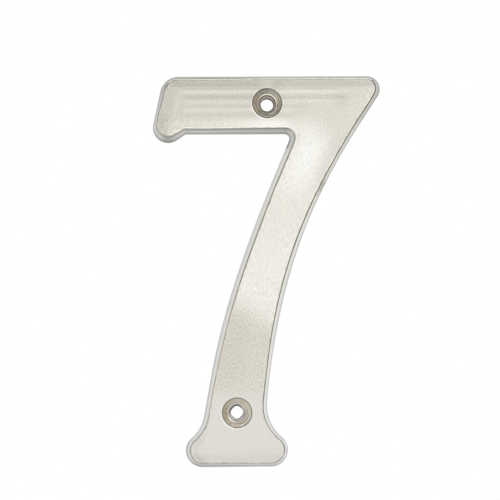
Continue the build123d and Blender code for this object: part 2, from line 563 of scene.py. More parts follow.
@dataclass
class Shell:
    """Vertices and faces of the casting as they are gathered, with what its finishes read."""

    points: list[np.ndarray] = field(default_factory=list)
    faces: list[tuple[int, ...]] = field(default_factory=list)
    skins: list[int] = field(default_factory=list)
    marks: dict[str, list[np.ndarray]] = field(default_factory=dict)
    count: int = 0

    def add_points(self, points: np.ndarray, **marks: np.ndarray) -> np.ndarray:
        """Adds vertices and their marks.

        Args:
            points: Places of the vertices, in an array of any shape.
            marks: A value for each vertex or for all of them, by the mark's name.

        Returns:
            Indices of the vertices, in the points' own shape.
        """
        flat = points.reshape(-1, 3)
        self.points.append(flat)
        for name, values in marks.items():
            self.marks.setdefault(name, []).append(np.broadcast_to(values, points.shape[:-1]).ravel())
        first, self.count = self.count, self.count + len(flat)
        return np.arange(first, self.count).reshape(points.shape[:-1])

    def add_faces(self, faces: Sequence[Sequence[int]], skin: Skin) -> None:
        """Adds faces of one finish."""
        self.faces.extend(tuple(int(corner) for corner in each) for each in faces)
        self.skins.extend([skin.value] * len(faces))

    def bridge(self, rows: np.ndarray, skins: Sequence[Skin]) -> None:
        """Joins closed rows of vertices with strips of faces.

        Args:
            rows: Indices of the vertices, one closed row after another.
            skins: Finish of each strip between two rows.
        """
        for lower, upper, skin in zip(rows, rows[1:], skins):
            corners = np.stack([lower, np.roll(lower, -1), np.roll(upper, -1), upper], axis=-1)
            self.add_faces(corners.tolist(), skin)

    def fill(self, loops: Sequence[np.ndarray], inner: np.ndarray, skin: Skin) -> None:
        """Fills a flat region, the first loop less the others, with triangles.

        Args:
            loops: Indices of the vertices round the region and round each opening in it.
            inner: Indices of the vertices inside it.
            skin: Finish of the region.
        """
        points = np.concatenate(self.points)
        order = np.concatenate([*loops, inner]).astype(int)
        plan = points[order][:, (0, 2)]
        edges, first = [], 0
        for loop in loops:
            ring = np.arange(first, first + len(loop))
            edges.extend(np.stack([ring, np.roll(ring, -1)], axis=-1).tolist())
            first += len(loop)
        made = delaunay_2d_cdt([Vector(p) for p in plan], edges, [], 1, LEVEL)
        sources = [order[origin[0]] for origin in made[3]]
        faces = [[sources[corner] for corner in each] for each in made[2]]
        middles = points[np.array(faces)].mean(axis=1)[:, (0, 2)]
        keep = np.ones(len(faces), bool)
        for loop in loops[1:]:
            rim = points[loop][:, (0, 2)]
            centre = rim.mean(axis=0)
            keep &= np.linalg.norm(middles - centre, axis=1) > np.linalg.norm(rim[0] - centre)
        self.add_faces([each for each, kept in zip(faces, keep) if kept], skin)

    def mesh(self, name: str) -> bpy.types.Mesh:
        """Makes what was gathered into a mesh.

        Args:
            name: Name of the mesh.

        Returns:
            A closed, smooth mesh in metres that faces outwards.
        """
        made = bpy.data.meshes.new(name)
        made.from_pydata((np.concatenate(self.points) * MM).tolist(), [], self.faces)
        made.polygons.foreach_set("material_index", self.skins)
        for label, values in self.marks.items():
            layer = made.attributes.new(label, "FLOAT", "POINT")
            layer.data.foreach_set("value", np.concatenate(values).astype(np.float32))
        work = bmesh.new()
        work.from_mesh(made)
        bmesh.ops.recalc_face_normals(work, faces=work.faces[:])
        work.to_mesh(made)
        work.free()
        made.polygons.foreach_set("use_smooth", [True] * len(made.polygons))
        made.update()
        return made


@dataclass
class Relief:
    """Shallow hollows that sanding leaves in the face, as a depth below the flat."""

    outline: Outline
    crown_depth: float = 0.10
    crown_width: float = 5.0
    stem_share: float = 0.35
    bar_ease: tuple[float, float] = (-6.0, 2.0)

    def depth(self, x: np.ndarray, z: np.ndarray, gap: np.ndarray) -> np.ndarray:
        """Depth of the relief at places on the face.

        Args:
            x: Distance from the left of the numeral's box.
            z: Height above the foot.
            gap: Distance in from the edge of the face.

        Returns:
            Depths below the flat face, none of them negative.
        """
        underside = self.outline.height - self.outline.bar_depth
        bar = soft_step(z, *(underside + each for each in self.bar_ease))
        near = 1.0 - np.clip(gap / self.crown_width, 0.0, 1.0)
        return self.crown_depth * near**2 * (self.stem_share + (1.0 - self.stem_share) * bar)


@dataclass
class Numeral:
    """The casting: its outline, sides, holes and face, built as one closed mesh."""

    outline: Outline
    section: SideSection
    drilled: tuple[ScrewHole, ScrewHole]
    relief: Relief
    corner: np.ndarray
    step: float = 0.45
    face_pitch: float = 0.5
    face_clearance: float = 0.3
    # Tilts of the section over which the turn mark falls from 1 to 0; the side's painted edge shade and
    # highlight follow it
    edge_turn_tilt: tuple[float, float] = (14.0, 88.0)
    back_zone: float = 1.0
    spiral_starts: tuple[float, float] = (40.0, 200.0)
    sanded_reach: float = 1.6

    def side(self, shell: Shell) -> tuple[np.ndarray, np.ndarray]:
        """Adds the sloping side, from the back round to the face.

        Args:
            shell: Shell that it is added to.

        Returns:
            Indices of the side's vertices by row, and the plan of its innermost row on the face.
        """
        points, faces = self.outline.walk(self.step)
        rows = self.section.rows()
        inset = rows[:, :1] + self.section.ground_off(points)[None] * rows[:, 1:] / self.section.thickness
        plan = points[None] - faces[None] * np.maximum(inset, 0.0)[..., None]
        depth = np.broadcast_to(-rows[:, 1:], plan.shape[:2])
        run = np.diff(rows, axis=0)
        tilt = np.degrees(np.arctan2(run[:, 0], run[:, 1]))
        tilt = np.concatenate([tilt, tilt[-1:]])
        turn = 1.0 - soft_step(tilt, *self.edge_turn_tilt)
        turn[rows[:, 1] < self.back_zone] = 1.0
        spots = np.stack([plan[..., 0], depth, plan[..., 1]], axis=-1)
        made = shell.add_points(spots, gap=0.0, turn=turn[:, None], way=0.0, east=0.0, north=0.0)
        skins = [Skin.SIDE] * (len(rows) - 1)
        for index in np.flatnonzero(np.abs(run[:, 1]) < LEVEL):
            skins[index] = Skin.BACK if rows[index, 1] < self.back_zone else Skin.FACE
        shell.bridge(made, skins)
        return made, plan[-1]

    def holes(self, shell: Shell) -> list[np.ndarray]:
        """Adds both screw holes.

        Args:
            shell: Shell that they are added to.

        Returns:
            Indices of each hole's vertices by row.
        """
        made = []
        for hole, centre, first_angle in zip(self.drilled, self.outline.hole_centres, self.spiral_starts):
            spots, way = hole.turned(centre, first_angle)
            aim = spots[..., (0, 2)] - centre
            aim = aim / np.linalg.norm(aim, axis=-1, keepdims=True)
            rows = shell.add_points(
                spots, gap=FAR_GAP, turn=0.0, way=way[:, None], east=aim[..., 0], north=aim[..., 1])
            level = spots[:, 0, 1]
            flat = np.abs(np.diff(level)) < LEVEL
            ends = [Skin.FACE if each < -self.back_zone else Skin.BACK for each in level]
            shell.bridge(rows, [end if each else Skin.HOLE for each, end in zip(flat, ends)])
            made.append(rows)
        return made

    def face_spots(self, border: np.ndarray) -> np.ndarray:
        """Staggers points over the inside of the face.

        Args:
            border: Plan of the face's border, one point a row.

        Returns:
            Their plan, clear of the border and of the holes.
        """
        low, high = border.min(axis=0), border.max(axis=0)
        lift = self.face_pitch * math.sqrt(3.0) / 2.0
        rows = np.arange(low[1], high[1], lift)
        columns = np.arange(low[0], high[0], self.face_pitch)
        x = columns[None, :] + self.face_pitch / 2.0 * (np.arange(len(rows)) % 2)[:, None]
        spots = np.stack([x, np.broadcast_to(rows[:, None], x.shape)], axis=-1).reshape(-1, 2)
        ahead = np.roll(border, -1, axis=0)
        crosses = (border[None, :, 1] > spots[:, 1:]) != (ahead[None, :, 1] > spots[:, 1:])
        rise = np.where(ahead[:, 1] == border[:, 1], 1.0, ahead[:, 1] - border[:, 1])
        reach = border[:, 0] + (spots[:, 1:] - border[None, :, 1]) * (ahead - border)[None, :, 0] / rise
        inside = (crosses & (spots[:, :1] < reach)).sum(axis=1) % 2 == 1
        inside &= self.gaps(spots, border) > self.face_clearance
        for hole, centre in zip(self.drilled, self.outline.hole_centres):
            clear = hole.countersink_diameter / 2.0 + hole.border + self.face_clearance
            inside &= np.linalg.norm(spots - centre, axis=1) > clear
        return spots[inside]

    @staticmethod
    def gaps(spots: np.ndarray, border: np.ndarray) -> np.ndarray:
        """Measures how far spots are from a border.

        Args:
            spots: Plan of the spots, one a row.
            border: Plan of the border's points.

        Returns:
            Distance of each spot from the nearest point.
        """
        tree = KDTree(len(border))
        for index, point in enumerate(border):
            tree.insert((point[0], point[1], 0.0), index)
        tree.balance()
        return np.array([tree.find((spot[0], spot[1], 0.0))[2] for spot in spots])

    def build(self) -> bpy.types.Object:
        """Builds the whole casting in the place of the CAD node.

        Returns:
            The object, at the origin, with its place in its mesh.
        """
        shell = Shell()
        side, border = self.side(shell)
        holes = self.holes(shell)
        spots = self.face_spots(border)
        flat = np.stack([spots[:, 0], np.full(len(spots), -self.section.thickness), spots[:, 1]], axis=-1)
        inner = shell.add_points(
            flat, gap=self.gaps(spots, border) + self.section.border, turn=0.0, way=0.0, east=0.0, north=0.0)
        shell.fill([side[-1], *(rows[0] for rows in holes)], inner, Skin.FACE)
        shell.fill([side[0], *(rows[-1] for rows in holes)], np.array([], int), Skin.BACK)
        self.sand(shell, border)
        for points in shell.points:
            points += np.array([self.corner[0], 0.0, self.corner[1]])
        made = bpy.data.objects.new("satin_seven", shell.mesh("satin_seven"))
        bpy.context.scene.collection.objects.link(made)
        return made

    def sand(self, shell: Shell, border: np.ndarray) -> None:
        """Lowers the face and the edges round it by the relief.

        Args:
            shell: Shell of the whole casting.
            border: Plan of the face's border.
        """
        spots = np.concatenate(shell.points)
        gap = np.concatenate(shell.marks["gap"])
        near_hole = gap >= FAR_GAP
        gap[near_hole] = self.gaps(spots[near_hole][:, (0, 2)], border) + self.section.border
        shell.marks["gap"] = [gap]
        weight = soft_step(-spots[:, 1], self.section.thickness - self.sanded_reach, self.section.thickness)
        spots[:, 1] += weight * self.relief.depth(spots[:, 0], spots[:, 2], gap)
        shell.points = [spots]


class Number:
    """A number that changes over a surface; sums and products of it add Math nodes."""

    def __init__(self, board: "Board", socket: bpy.types.NodeSocket) -> None:
        """Wraps an output socket of the board's tree."""
        self.board = board
        self.socket = socket

    def math(self, operation: str, *others: Amount, first: bool = True) -> "Number":
        """Adds one Math node.

        Args:
            operation: Blender's name for the sum.
            others: The other values that it takes.
            first: True where this number is the first of them.

        Returns:
            The node's result.
        """
        values = [self, *others] if first else [*others, self]
        node = self.board.node("ShaderNodeMath", {"operation": operation}, dict(enumerate(values)))
        return Number(self.board, node.outputs[0])

    def __add__(self, other: Amount) -> "Number":
        """This number plus another."""
        return self.math("ADD", other)

    __radd__ = __add__

    def __mul__(self, other: Amount) -> "Number":
        """This number times another."""
        return self.math("MULTIPLY", other)

    __rmul__ = __mul__

    def __sub__(self, other: Amount) -> "Number":
        """This number less another."""
        return self.math("SUBTRACT", other)

    def __rsub__(self, other: Amount) -> "Number":
        """Another number less this one."""
        return self.math("SUBTRACT", other, first=False)

    def __truediv__(self, other: Amount) -> "Number":
        """This number over another."""
        return self.math("DIVIDE", other)

    def __rtruediv__(self, other: Amount) -> "Number":
        """Another number over this one."""
        return self.math("DIVIDE", other, first=False)

    def __neg__(self) -> "Number":
        """This number below zero."""
        return self * -1.0

    def larger(self, other: Amount) -> "Number":
        """The larger of this number and another."""
        return self.math("MAXIMUM", other)

    def step(self, low: float, high: float) -> "Number":
        """Smooth climb between two values.

        Args:
            low: Where the result is 0.
            high: Where the result is 1, which may be the lower value.

        Returns:
            The climb, level beyond both ends.
        """
        node = self.board.node(
            "ShaderNodeMapRange", {"interpolation_type": "SMOOTHSTEP", "clamp": True},
            {"Value": self, "From Min": low, "From Max": high, "To Min": 0.0, "To Max": 1.0})
        return Number(self.board, node.outputs[0])

    def within(self, span: Span) -> "Number":
        """Share that climbs from 0 to 1 over a span and may fall again at its far end.

        Args:
            span: Two values for a climb alone, three for a hump with its top at the middle one, or
                four for a climb, a level stretch and a fall.

        Returns:
            The share.
        """
        climb = self.step(*span[:2])
        return climb if len(span) == 2 else climb * self.step(span[-1], span[-2])

    def away(self, other: "Number", spot: Spot) -> "Number":
        """Distance of two coordinates from a spot.

        Args:
            other: The second coordinate; this number is the first.
            spot: Both coordinates of the spot, and its reach.

        Returns:
            The distance as a share of the reach.
        """
        across, up = self - spot[0], other - spot[1]
        return (across * across + up * up).math("SQRT") / spot[2]

    def curve(self, points: Curve) -> "Number":
        """Smooth curve through points, level beyond both ends.

        Args:
            points: Values of this number, from the lowest up, and the result at each.

        Returns:
            The curve's result.
        """
        values, results = zip(*points)
        span, low, rise = values[-1] - values[0], min(results), max(results) - min(results)
        share = ((self - values[0]) / span).larger(0.0).math("MINIMUM", 1.0)
        made = self.board.node("ShaderNodeFloatCurve", {}, {"Value": share})
        line = made.mapping.curves[0]
        places = [((value - values[0]) / span, (result - low) / rise) for value, result in points]
        line.points[0].location, line.points[1].location = places[0], places[-1]
        for place in places[1:-1]:
            line.points.new(*place)
        for point in line.points:
            point.handle_type = "AUTO_CLAMPED"
        made.mapping.update()
        return Number(self.board, made.outputs[0]) * rise + low


Value = Union[Number, bpy.types.NodeSocket, float, Colour]
Surface = dict[str, Number]


class Grain(NamedTuple):
    """A noise drawn out over a surface: its cells to the millimetre both ways, its seed and its detail."""

    across: float
    along: float
    seed: float
    detail: float = 2.0


class Board:
    """A node tree under construction, with the few ways of adding to it that the finishes use."""

    def __init__(self, tree: bpy.types.NodeTree) -> None:
        """Clears a tree to start from."""
        self.tree = tree
        tree.nodes.clear()

    def node(self, kind: str, settings: dict[str, object],
             inputs: dict[Union[str, int], Value]) -> bpy.types.Node:
        """Adds a node.

        Args:
            kind: Blender's type of the node.
            settings: Properties, set before any socket.
            inputs: Values or links by the socket's name or number.

        Returns:
            The node.
        """
        made = self.tree.nodes.new(kind)
        for name, value in settings.items():
            setattr(made, name, value)
        for key, value in inputs.items():
            socket = made.inputs[key]
            source = value.socket if isinstance(value, Number) else value
            if isinstance(source, bpy.types.NodeSocket):
                self.tree.links.new(source, socket)
            elif isinstance(source, tuple) and len(socket.default_value) == 4:
                socket.default_value = (*source, 1.0)
            else:
                socket.default_value = source
        return made

    def place(self) -> tuple[Number, Number, Number]:
        """Place on the object.

        Returns:
            The coordinates x, y and z, in millimetres.
        """
        coordinates = self.node("ShaderNodeTexCoord", {}, {})
        scaled = self.node("ShaderNodeVectorMath", {"operation": "SCALE"},
                           {0: coordinates.outputs["Object"], "Scale": 1.0 / MM})
        parts = self.node("ShaderNodeSeparateXYZ", {}, {0: scaled.outputs[0]})
        return tuple(Number(self, each) for each in parts.outputs)

    def mark(self, name: str) -> Number:
        """A mark that the mesh carries at each vertex."""
        return Number(self, self.node("ShaderNodeAttribute", {"attribute_name": name}, {}).outputs["Fac"])

    def noise(self, x: Value, y: Value, z: Value, detail: float = 2.0, roughness: float = 0.5) -> Number:
        """Noise about zero, with cells one unit wide.

        Args:
            x: First coordinate of the noise.
            y: Second coordinate.
            z: Third coordinate, or a seed.
            detail: How many finer layers it has.
            roughness: How strong each of them is beside the one before.

        Returns:
            The noise.
        """
        spot = self.node("ShaderNodeCombineXYZ", {}, {0: x, 1: y, 2: z})
        made = self.node("ShaderNodeTexNoise", {},
                         {"Vector": spot.outputs[0], "Scale": 1.0, "Detail": detail, "Roughness": roughness})
        return Number(self, made.outputs[0]) - 0.5

    def grain(self, across: Number, along: Number, grain: Grain) -> Number:
        """Noise about zero over two coordinates of a surface, after a grain's settings."""
        return self.noise(across * grain.across, along * grain.along, grain.seed, detail=grain.detail)

    def mix(self, share: Value, first: Value, second: Value) -> bpy.types.NodeSocket:
        """Colour between two others."""
        made = self.node("ShaderNodeMix", {"data_type": "RGBA"}, {0: share, 6: first, 7: second})
        return made.outputs[2]

    def tint(self, colour: Value, level: Number) -> bpy.types.NodeSocket:
        """Darkens or lifts a colour.

        Args:
            colour: The colour at a level of 1.
            level: The factor of all three of its parts.

        Returns:
            The colour times the level.
        """
        grey = self.node("ShaderNodeCombineColor", {}, {0: level, 1: level, 2: level})
        made = self.node("ShaderNodeMix", {"data_type": "RGBA", "blend_type": "MULTIPLY"},
                         {0: 1.0, 6: grey.outputs[0], 7: colour})
        return made.outputs[2]

    def bump(self, height: Number, distance: float) -> bpy.types.NodeSocket:
        """Normal of a surface raised by a height, in millimetres times the distance."""
        made = self.node("ShaderNodeBump", {}, {"Strength": 1.0, "Distance": distance * MM, "Height": height})
        return made.outputs[0]


class Change(NamedTuple):
    """A change of level over the part of a surface where all of its masks and spans hold.

    A mask whose name follows a "!" holds where it is 0.
    """

    amount: float
    masks: tuple[str, ...]
    spans: dict[str, Span]

    def at(self, surface: Surface) -> Number:
        """Finds the change at each place.

        Args:
            surface: Coordinates and masks by name.

        Returns:
            The whole amount where everything holds, and less where anything holds in part.
        """
        shares = [1.0 - surface[name[1:]] if name.startswith("!") else surface[name] for name in self.masks]
        shares += [surface[name].within(span) for name, span in self.spans.items()]
        whole = math.prod(shares[1:], start=shares[0])
        return whole if self.amount == 1.0 else whole * self.amount


Changes = tuple[Change, ...]


def change(amount: float, *masks: str, **spans: Span) -> Change:
    """A change by an amount, in masks and in spans of coordinates."""
    return Change(amount, masks, spans)


def total(changes: Changes, surface: Surface) -> Number:
    """Sum of changes at each place of a surface."""
    return reduce(Number.__add__, (each.at(surface) for each in changes))


def largest(changes: Changes, surface: Surface) -> Number:
    """Largest of changes at each place of a surface."""
    return reduce(Number.larger, (each.at(surface) for each in changes))


class Coat(NamedTuple):
    """A colour laid over part of a surface."""

    colour: Colour
    where: Change


@dataclass(frozen=True)
class StemLine:
    """Bowed middle line of the stem: where it is at height 0, its lean there and its bow."""

    start: float = 4.6
    lean: float = 0.300
    bow: float = 0.0022

    def across(self, x: Number, z: Number) -> Number:
        """Distance to the right of the line."""
        return x - self.start - z * self.lean - z * z * self.bow


class Finish:
    """A finish of the casting, which makes one Blender material."""

    name: ClassVar[str]

    def sockets(self, board: Board) -> dict[str, Value]:
        """Values and links of the shader's sockets, by name."""
        raise NotImplementedError

    @staticmethod
    def paint(board: Board, ground: Value, coats: tuple[Coat, ...], surface: Surface) -> Value:
        """Lays coats over a ground colour, one after another.

        Args:
            board: Tree that the coats are added to.
            ground: Colour below them.
            coats: The coats, from the lowest up.
            surface: Coordinates and masks by name.

        Returns:
            The colour that shows.
        """
        for coat in coats:
            ground = board.mix(coat.where.at(surface), ground, coat.colour)
        return ground

    def material(self) -> bpy.types.Material:
        """Makes the finish.

        Returns:
            A material with one shader.
        """
        made = bpy.data.materials.new(self.name)
        made.use_nodes = True
        board = Board(made.node_tree)
        shader = board.node("ShaderNodeBsdfPrincipled", {}, self.sockets(board))
        board.node("ShaderNodeOutputMaterial", {}, {"Surface": shader.outputs[0]})
        return made


@dataclass(frozen=True)
class NickelFace(Finish):
    """Satin nickel of the face, sanded along the strokes of the numeral.

    Levels are shares of the light that the face gives back; most of their change over the face is
    painted sheen and shade, while the grain and streaks are the sanding's own. Heights and distances
    across are millimetres in the row's frame. A curve is a row of such a distance and the level there,
    and a speck is a place with its reach, and its change of level.
    """

    name: ClassVar[str] = "sanded_face"
    stem: StemLine = StemLine()
    plain_colour: Colour = (1.0, 0.962, 0.855)
    # Colour where the painted sheen is brightest
    sheen_colour: Colour = (0.975, 0.966, 0.918)
    foot: Coat = Coat((0.99, 0.968, 0.905), change(1.0, z=(-31.0, -38.0)))
    plain_sheen_curve: Curve = (
        (-54.0, 0.66), (-51.9, 0.69), (-51.2, 0.693), (-50.4, 0.715), (-49.8, 0.737), (-46.0, 0.745),
        (-37.5, 0.74), (-33.5, 0.705), (-22.0, 0.685), (-10.0, 0.69), (30.0, 0.70), (46.0, 0.70))
    bright_sheen_curve: Curve = (
        (-20.0, 0.18), (-10.0, 0.18), (3.0, 0.172), (9.0, 0.148), (15.0, 0.15), (21.0, 0.165), (33.0, 0.155))
    # Bands of painted sheen and shade along the bar, where the belt passed, by the distance below the top
    # edge
    band_sheen_curve: Curve = (
        (0.0, -0.105), (1.5, -0.105), (1.68, -0.032), (2.08, -0.074), (2.55, 0.075), (2.8, 0.085),
        (3.2, 0.06), (3.65, -0.02), (4.4, -0.082), (4.85, -0.035), (5.25, 0.038), (5.7, 0.045),
        (6.2, 0.008), (6.65, -0.028), (7.05, 0.005), (7.6, 0.06), (8.05, 0.04), (8.5, -0.01),
        (8.9, -0.035), (9.4, -0.02), (10.2, 0.0))
    band_zone: Span = (31.0, 36.0)
    band_wander: Change = change(0.10, "wander", x=(8.0, 16.0))
    band_start: float = 3.4
    band_start_changes: Changes = (change(1.2, inside=(3.4, 4.4)),)
    band_start_blend: Span = (-0.8, 2.2)
    band_last: float = 23.0
    band_last_changes: Changes = (change(3.0, inside=(3.6, 4.4, 5.2)), change(-11.0, inside=(4.9, 6.2)))
    band_last_blend: Span = (4.0, -4.0)
    top_band: Change = change(1.0, inside=(2.2, 1.4), from_end=(0.0, 1.5))
    end_changes: Changes = (
        change(0.06, from_end=(2.7, 3.6, 4.5), z=(35.0, 39.5, 44.0)),
        change(-0.04, from_end=(3.2, 1.6), inside=(1.0, 2.6)),
        change(-0.02, x=(-16.0, -20.0)))
    # Top of the face, and the line along its left end as a distance at the origin and two slopes
    face_top: float = 45.85
    end_line: Spot = (30.87, 0.976, -0.216)
    # Brightest painted sheen, below a line that is level up to a corner and then falls to the right
    bright_corner: tuple[float, float] = (9.0, 34.1)
    bright_fall: float = 0.55
    bright_blend: float = 3.2
    bright_blend_change: Change = change(4.8, x=(9.0, 15.0))
    bright_wander: tuple[float, float] = (0.3, 0.6)
    bright_left: Change = change(-0.78, z=(28.0, 30.0), x=(2.0, -22.0))
    bright_tilt: float = 0.35
    bright_foot: Span = (-19.5, -10.2)
    # Middle of the stem and of the bar, where more painted sheen lies
    middle_sheen_parts: Changes = (
        change(1.0, across=(-6.6, 0.4, 7.4), z=(13.0, 24.0)),
        change(1.0, x=(-5.0, 5.0, 15.0), z=(29.0, 31.0)))
    # Painted sheen and shade by part, with painted glints in strokes on the beak and in flecks at the tip
    sheen_changes: Changes = (
        change(-0.06, from_end=(4.0, 1.2), z=(38.0, 33.5)),
        change(-0.14, "pits", from_end=(4.0, 1.2), z=(38.0, 33.5)),
        change(0.06, "!bright", x=(5.0, 14.0), z=(26.0, 32.0)),
        change(-0.03, across=(2.0, -3.5), z=(-37.0, -31.0, -16.0, -8.0)),
        change(0.11, "bright", "middle"),
        change(-0.09, "bright", across=(2.8, 6.0), z=(14.0, 22.0)),
        change(0.17, "strokes", x=(-23.0, -21.0, -16.0, -14.0), z=(37.0, 35.0)),
        change(0.13, "flecks", tip=(5.5, 6.5), z=(38.0, 40.0)))
    tip_slopes: tuple[float, float] = (0.85, -0.5)
    # Edges: painted glints at nicks, a score at the foot, a darker patch by the foot's left edge, and a
    # painted highlight round each hole's rim
    edge_marks_and_glints: Changes = (
        change(0.20, "chips", gap=(1.2, 0.6), across=(2.0, 5.0), z=(-18.3, -15.5, -12.7)),
        change(0.20, "chips", gap=(1.2, 0.6), across=(2.0, 5.0), z=(-28.3, -26.3, -24.3)),
        change(0.20, "chips", gap=(1.2, 0.6), x=(26.0, 29.0), z=(37.0, 40.0)),
        change(-0.12, gap=(0.2, 0.5, 0.8), corner=(-63.0, -65.0)),
        change(-0.06, gap=(2.4, 0.5), x=(-11.0, -14.0), z=(-42.0, -46.0)),
        change(0.05, way=(0.08, 0.3)),
        change(0.08, way=(0.08, 0.3), lower_left=(0.2, 1.0)),
        change(0.22, way=(0.08, 0.3), lower_left=(1.05, 1.32)),
        change(0.16, "bar", way=(0.08, 0.3), lower_left=(1.05, 1.32)))
    # Small dark specks, and wider spots of painted sheen and shade
    specks_and_sheen_spots: tuple[tuple[Spot, float], ...] = (
        ((14.1, 31.2, 0.35), -0.14), ((20.0, 29.7, 0.30), -0.14), ((9.2, 3.7, 0.30), -0.14),
        ((4.2, 45.0, 3.0), 0.09), ((10.0, 43.5, 4.0), 0.04), ((23.3, 41.0, 3.0), -0.06),
        ((13.0, 39.0, 3.0), -0.05), ((17.5, 31.7, 3.5), -0.05), ((-17.6, 34.5, 0.8), 0.10))
    # Where the grain turns from the stem to the bar, and where the strokes of the stem lengthen
    bar_lean: float = 0.3
    bar_zone: Span = (32.0, 37.0)
    long_zone: Span = (-14.0, -8.0)
    bar_streaks: Grain = Grain(0.10, 2.4, 0.0, 3.0)
    bar_streak_level: float = 0.6
    stem_streaks: Grain = Grain(2.0, 0.08, 5.0, 3.0)
    stem_streak_level: float = 1.35
    long_strokes: Grain = Grain(3.2, 0.8, 0.0, 1.0)
    short_strokes: Grain = Grain(3.2, 1.7, 0.0, 1.0)
    bar_strokes: Grain = Grain(2.2, 2.8, 2.0, 1.0)
    fine_level: float = 1.28
    coarse_strokes: Grain = Grain(1.5, 0.9, 7.0, 1.0)
    coarse_level: float = 0.15
    grain_level: float = 0.42
    grain_changes: Changes = (
        change(-0.60, z=(-33.0, -37.0)), change(0.38, z=(-4.0, -12.0)), change(-0.14, "!bar", z=(-6.0, 4.0)))
    streak_level: float = 0.11
    wander: Grain = Grain(0.12, 0.2, 3.0)
    wander_reach: float = 3.0
    pits: tuple[Grain, Span] = (Grain(2.2, 2.2, 13.0, 1.0), (-0.06, 0.14))
    # Noises of the painted glints: strokes on the beak, flecks at the tip and nicks along the edges
    beak_glints: tuple[Grain, Span] = (Grain(0.35, 1.1, 9.0), (0.02, 0.2))
    tip_glints: tuple[Grain, Span] = (Grain(1.3, 1.3, 9.0), (0.03, 0.22))
    chips: tuple[Grain, Span] = (Grain(1.9, 1.9, 17.0), (0.04, 0.16))
    patches: Grain = Grain(0.35, 0.35, 11.0)
    patch_level: float = 0.9
    # Whiter colour under the painted sheen
    sheen_white_changes: Changes = (
        change(0.38, "bright"), change(0.14, "bright", z=(14.0, 6.0)), change(0.62, "bright", "middle"))
    roughness: float = 0.33
    streak_roughness: float = 0.10
    grain_roughness: float = 0.05
    grain_height: float = 0.6
    bump_distance: float = 0.02

    def layout(self, board: Board) -> Surface:
        """Coordinates and masks that the face's changes name.

        Args:
            board: Tree that they are added to.

        Returns:
            The numbers by name.
        """
        x, _, z = board.place()
        start, right, up = self.end_line
        wander = board.grain(x, z, self.wander) * self.wander_reach
        face = {
            "x": x, "z": z, "wander": wander, "across": self.stem.across(x, z), "corner": x + z,
            "from_end": start + x * right + z * up, "tip": x * self.tip_slopes[0] + z * self.tip_slopes[1],
            "bar": (z + x * self.bar_lean).step(*self.bar_zone), "gap": board.mark("gap"),
            "way": board.mark("way"), "lower_left": -(board.mark("east") + board.mark("north"))}
        face["inside"] = self.face_top - z + self.band_wander.at(face)
        # Where the painted sheen lies
        face["bright"] = self.bright(face)
        face["middle"] = largest(self.middle_sheen_parts, face)
        # Pits of the finish, and the painted glints of the beak, the tip and the nicked edges
        flecks = {"pits": (x, z, self.pits), "strokes": (x + z, x - z, self.beak_glints),
                  "flecks": (x, z, self.tip_glints), "chips": (x, z, self.chips)}
        for name, (across, along, (grain, span)) in flecks.items():
            face[name] = board.grain(across, along, grain).within(span)
        return face

    def bright(self, face: Surface) -> Number:
        """Finds where the brightest sheen is painted, on the stem and along the bar's lower edge.

        Args:
            face: Coordinates and masks by name.

        Returns:
            Its share of the surface.
        """
        x, z, wander = face["x"], face["z"], face["wander"]
        corner, top = self.bright_corner
        over = (x - corner).larger(0.0) * self.bright_fall + z - top + wander * self.bright_wander[0]
        share = (over / (self.bright_blend + self.bright_blend_change.at(face))).step(1.0, 0.0)
        low = z + face["across"] * self.bright_tilt + wander * self.bright_wander[1]
        return share * (1.0 + self.bright_left.at(face)) * low.step(*self.bright_foot)

    def bands(self, face: Surface) -> Number:
        """Finds the bands of painted sheen where the belt passed along the bar and turned at its left end.

        Args:
            face: Coordinates and masks by name.

        Returns:
            The change of level that they make.
        """
        last = face["x"] - (self.band_last + total(self.band_last_changes, face))
        start = face["from_end"] - (self.band_start + total(self.band_start_changes, face))
        kept = last.step(*self.band_last_blend) * start.step(*self.band_start_blend)
        kept = kept.larger(self.top_band.at(face))
        return face["inside"].curve(self.band_sheen_curve) * kept + total(self.end_changes, face)

    def sheen(self, face: Surface) -> Number:
        """Finds the painted sheen and shade of the face, lighter and darker by height and by part.

        Args:
            face: Coordinates and masks by name.

        Returns:
            The level before the grain.
        """
        z = face["z"]
        level = z.curve(self.plain_sheen_curve) + face["bright"] * z.curve(self.bright_sheen_curve)
        return level + z.step(*self.band_zone) * self.bands(face) + total(self.sheen_changes, face)

    def strokes(self, board: Board, face: Surface) -> tuple[Number, Number]:
        """Draws the marks of sanding, along the stem and along the bar.

        Args:
            board: Tree that they are added to.
            face: Coordinates and masks by name.

        Returns:
            The long streaks and the fine grain, both about zero.
        """
        x, z, across, bar = (face[name] for name in ("x", "z", "across", "bar"))
        along_bar = board.grain(x, z, self.bar_streaks) * self.bar_streak_level
        along_stem = board.grain(across, z, self.stem_streaks) * self.stem_streak_level
        long, short = (board.grain(across, z, each) for each in (self.long_strokes, self.short_strokes))
        fine = short + z.step(*self.long_zone) * (long - short)
        fine = fine + bar * (board.grain(x, z, self.bar_strokes) - fine)
        coarse = board.grain(across, z, self.coarse_strokes)
        streaks = along_stem + bar * (along_bar - along_stem)
        return streaks, fine * self.fine_level + coarse * self.coarse_level

